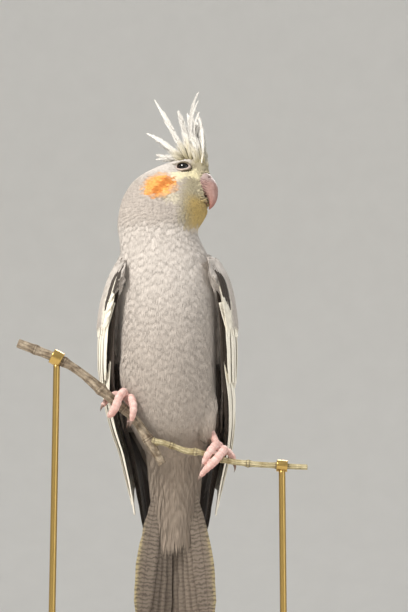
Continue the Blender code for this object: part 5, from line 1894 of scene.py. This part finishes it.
def make_feet(skin_material, claw_material):
    """Two feet, each with two toes over the twig and two behind it, scaled, and a claw on each toe."""
    for name, ((hip, ankle), toes) in FEET.items():
        hip, ankle = np.array(hip), np.array(ankle)
        shank = [(*(hip + (ankle - hip) * t), 2.1 - 0.4 * t) for t in (0.0, 0.5, 1.0)]
        shapes = [tube(shank, 20, 14), ball(ankle, (2.7, 2.3, 2.5))]
        shapes += [tube(stations, 20, 60, pads) for stations in toes]
        points, faces = fused(shapes, 0.26, (), 2)
        _, run, _ = nearest_on_lines(points, toes)
        scute = 0.5 + 0.5 * np.cos(2 * math.pi * run / SCUTE_LENGTH)
        between = 0.5 + 0.5 * np.cos(2 * math.pi * run / PAD_LENGTH)
        # Painted shade: a mask of the grooves between the scutes and between the pads.
        painted_foot_shade = np.maximum(0.25 * smooth_step(scute, 0.7, 1.0), 0.45 * smooth_step(between, 0.8, 1.0))
        faces = outward(points, faces)
        normals = normals_of(points, faces)
        # Painted shade on the toes' downward-facing undersides.
        under = 0.75 * smooth_step(-normals[:, 2], -0.1, 0.9)
        points = points - normals * (0.05 * scute)[:, None]
        painted_foot_shade = np.maximum(painted_foot_shade, under)
        obj = make_piece(f"scaled_foot_{name}", points, faces, skin_material, {"painted_foot_shade": painted_foot_shade})
        finish_piece(obj, "foot_skin", f"foot_{name}")
        for number, stations in enumerate(toes, 1):
            before, last, end = (np.array(row[:3]) for row in stations[-3:])
            heading = unit(end - last)
            bend = heading - unit(last - before)
            bend = unit(bend - heading * np.dot(bend, heading))
            root = stations[-1][3] * 0.8
            rows = []
            for reach in np.linspace(-0.6, 4.5, 8):
                place = end + heading * (GAP + reach) + bend * (CLAW_CURL * max(reach, 0) ** 2)
                rows.append((*place, root * max(0.06, 1 - reach / 4.7)))
            points, faces = tube(rows, 16, 24)
            along = np.linalg.norm(points - np.array(rows[0][:3]), axis=1) / 5.0
            layers = {"along": np.clip(along, 0, 1)}
            obj = make_piece(f"claw_horn_{name}_{number}", points, faces, claw_material, layers)
            finish_piece(obj, "claw_horn", f"claw_{name}_{number}")


# Twig and stand


def knots(places, swell):
    """Relief of a twig: swellings at its leaf nodes, and fine wrinkles along it."""

    def relief(at, turn):
        total = 0.0
        for place, size in places:
            total = total + size * np.exp(-(((at - place) / swell) ** 2))
        wrinkle = 0.05 * np.sin(5 * turn + 0.35 * at) + 0.04 * np.sin(9 * turn - 0.6 * at) * np.sin(0.9 * at)
        return total + wrinkle

    return relief


# Leaf nodes of the twig: how far along its arm, and how far they swell
MAIN_KNOTS = ((9, 0.4), (24, 0.55), (46, 0.6), (61, 0.45), (79, 0.5))
SIDE_KNOTS = ((5, 0.5), (14, 0.45), (26, 0.65), (39, 0.5), (52, 0.55), (66, 0.5))


def make_twig(material):
    """The cut twig that the bird grips: a stout arm and a thinner, younger one from its fork."""
    shapes = [
        tube(MAIN_TWIG, 28, 220, knots(MAIN_KNOTS, 1.6), False),
        tube(SIDE_TWIG, 24, 200, knots(SIDE_KNOTS, 1.3), False),
    ]
    points, faces = fused(shapes, 0.3, (), 1)
    owner, run, turn = nearest_on_lines(points, (MAIN_TWIG, SIDE_TWIG))
    wrinkle = 0.6 * np.sin(8 * turn + 1.1 * np.sin(0.5 * run))
    wrinkle = wrinkle + 0.4 * np.sin(15 * turn + 1.7 * np.sin(0.8 * run + 1))
    scar = np.zeros(len(points))
    for number, places in enumerate((MAIN_KNOTS, SIDE_KNOTS)):
        for place, _ in places:
            for off in (-0.9, 0.5):
                scar = np.maximum(scar, (owner == number) * np.exp(-(((run - place - off) / 0.3) ** 2)))
    faces = outward(points, faces)
    points = points + normals_of(points, faces) * (0.05 * wrinkle - 0.08 * scar)[:, None]
    layers = {"young": owner * smooth_step(run, 1.0, 5.0), "wrinkle": wrinkle, "scar": scar}
    return finish_piece(make_piece("bark", points, faces, material, layers), "bark", "perch_twig")


def make_stand(wood, brass):
    """A turned oval base with one brass rod up to each end of the twig."""
    turn = np.linspace(0, 2 * math.pi, 180, endpoint=False)
    rows = [(number, *row) for number, row in enumerate(BASE_PROFILE)]
    inset, height = smooth_read(rows, np.linspace(0, len(rows) - 1, 60))[:, 1:].T
    height = np.clip(height, 0, BASE_THICKNESS)
    points, faces = loft(ovals(BASE_HALF_LENGTH - inset, BASE_HALF_WIDTH - inset, height, turn))
    finish_piece(make_piece("base", points, faces, wood, in_bird=False), "base_wood", "stand_base")
    for name, stations, spot in zip(("right", "left"), (MAIN_TWIG, SIDE_TWIG), ROD_SPOTS):
        twig = np.asarray(stations, float)
        at = int(np.argmin(abs(twig[:, 0] - spot)))
        middle = twig[at, :3]
        along = unit(twig[at + 1, :3] - twig[at - 1, :3])
        foot = placed(middle) / MM
        ends = [placed(middle + along * reach) / MM for reach in (-COLLAR_REACH, COLLAR_REACH)]
        radius = twig[at, 3] + 1.4
        collar = [(*ends[0], radius), (*(sum(ends) / 2), radius + 0.12), (*ends[1], radius)]
        base_top = BASE_THICKNESS + 0.1
        shapes = [
            tube([(*foot[:2], base_top, ROD_RADIUS), (*foot, ROD_RADIUS)], 32, 40, None, False),
            tube(collar, 40, 12, None, False),
            tube([(*foot[:2], base_top + rise, wide) for rise, wide in ROD_FOOT], 40, 24, None, False),
        ]
        pile = Pile()
        for shape_points, shape_faces in shapes:
            pile.add(shape_points, shape_faces)
        pile.make(f"rod_{name}", brass, "rod_brass", f"stand_rod_{name}", in_bird=False)


# Camera

CAMERA_DISTANCE = 900.0
PHOTO_PITCH = 0.49
PHOTO_HEIGHT = 612
AIM = (17.6, 0.0, 64.2)


def make_camera():
    """The camera at the photograph's viewing angle, looking up along the bird's own level."""
    data = bpy.data.cameras.new("camera")
    camera = bpy.data.objects.new("camera", data)
    bpy.context.scene.collection.objects.link(camera)
    data.sensor_width = 36.0
    data.lens = 36.0 * CAMERA_DISTANCE / (PHOTO_HEIGHT * PHOTO_PITCH)
    data.clip_start = 0.05
    data.clip_end = 50.0
    spot = Vector(placed((AIM[0], -CAMERA_DISTANCE, AIM[2])))
    aim = Vector(placed(AIM))
    camera.location = spot
    camera.rotation_euler = (aim - spot).to_track_quat("-Z", "Y").to_euler()
    bpy.context.scene.camera = camera


def make_stage():
    """A pale sweep all round, and soft lights: a warm key high on the left, a wide fill, one from behind."""
    part = np.linspace(0, 1, 14)
    radius = np.concatenate([np.linspace(0.3, 2.6, 8), 2.6 + 1.4 * np.sin(part[1:] * math.pi / 2), [4.0]])
    height = np.concatenate([np.zeros(8), 1.4 * (1 - np.cos(part[1:] * math.pi / 2)), [3.4]])
    turn = np.linspace(0, 2 * math.pi, 96, endpoint=False)
    points, faces = loft(ovals(radius, radius, height, turn) / MM)
    faces[1] = faces[1][: len(turn)]
    mesh = bpy.data.meshes.new("floor")
    fill_mesh(mesh, points[:-1] * MM, [group[:, ::-1] for group in faces])
    mesh.materials.append(floor_material())
    floor = bpy.data.objects.new("floor", mesh)
    bpy.context.scene.collection.objects.link(floor)
    for name, spot, size, power, colour in (
        ("key light", (-0.8, -0.95, 1.2), 0.3, 29.0, (1.0, 0.965, 0.915)),
        ("fill light", (1.3, -1.2, 0.6), 1.2, 6.0, (0.93, 0.96, 1.0)),
        ("back light", (0.3, 1.1, 1.2), 0.8, 14.0, (1.0, 0.98, 0.95)),
    ):
        data = bpy.data.lights.new(name, "AREA")
        data.shape = "DISK"
        data.size = size
        data.energy = power
        data.color = colour
        light = bpy.data.objects.new(name, data)
        bpy.context.scene.collection.objects.link(light)
        light.location = spot
        light.rotation_euler = (Vector((0, 0, 0.22)) - Vector(spot)).to_track_quat("-Z", "Y").to_euler()
    world = bpy.data.worlds.new("studio")
    world.use_nodes = True
    world.node_tree.nodes["Background"].inputs["Color"].default_value = linear("EEF0F2")
    world.node_tree.nodes["Background"].inputs["Strength"].default_value = 0.8
    bpy.context.scene.world = world
    bpy.context.scene.view_settings.view_transform = "Standard"


# Making of the bird

skin_points, skin_faces = skin_shape()
skin = Surface(skin_points, skin_faces)
skin_layers = marks(skin_points)
skin_piece = make_piece(
    "skin", skin_points, skin_faces, under_skin_material(), skin_layers, {"OFBake": unwrap(skin_points)}
)
finish_piece(skin_piece, "body_feather", "torso", "neck", "head", "leg_left", "leg_right")
contour = contour_feather_material()
make_coat(skin, contour)
make_tail_coverts(contour)
make_ruff(skin, contour)
# Painted shade: this near-black vane stands for dark flight feathers and for the shade along the folded
# wing's front edge.
dark_and_shaded_vane = vane_material("flight feather keratin with painted shade", "352C26", "8F8172", "EFEAE0", 0.5)
light_vane = vane_material("covert feather keratin", "978C81", "C6BDB2", "F0EADB", 0.6)
tail_vane = vane_material("tail feather keratin", "82766A", "C9B98C", "EFEAE0", 0.55)
for side_name, side in (("right", -1), ("left", 1)):
    make_wing(side_name, side, dark_and_shaded_vane, light_vane)
    make_wing_coat(side_name, side, contour)
    make_scapulars(side_name, side, contour)
make_tail(tail_vane)
make_crest(skin, crest_material())
make_bill(bill_material())
make_eyes(eye_material(), lid_material())
make_feet(foot_material(), claw_material())
make_twig(bark_material())
make_stand(walnut_material(), brass_material())
make_camera()
make_stage()
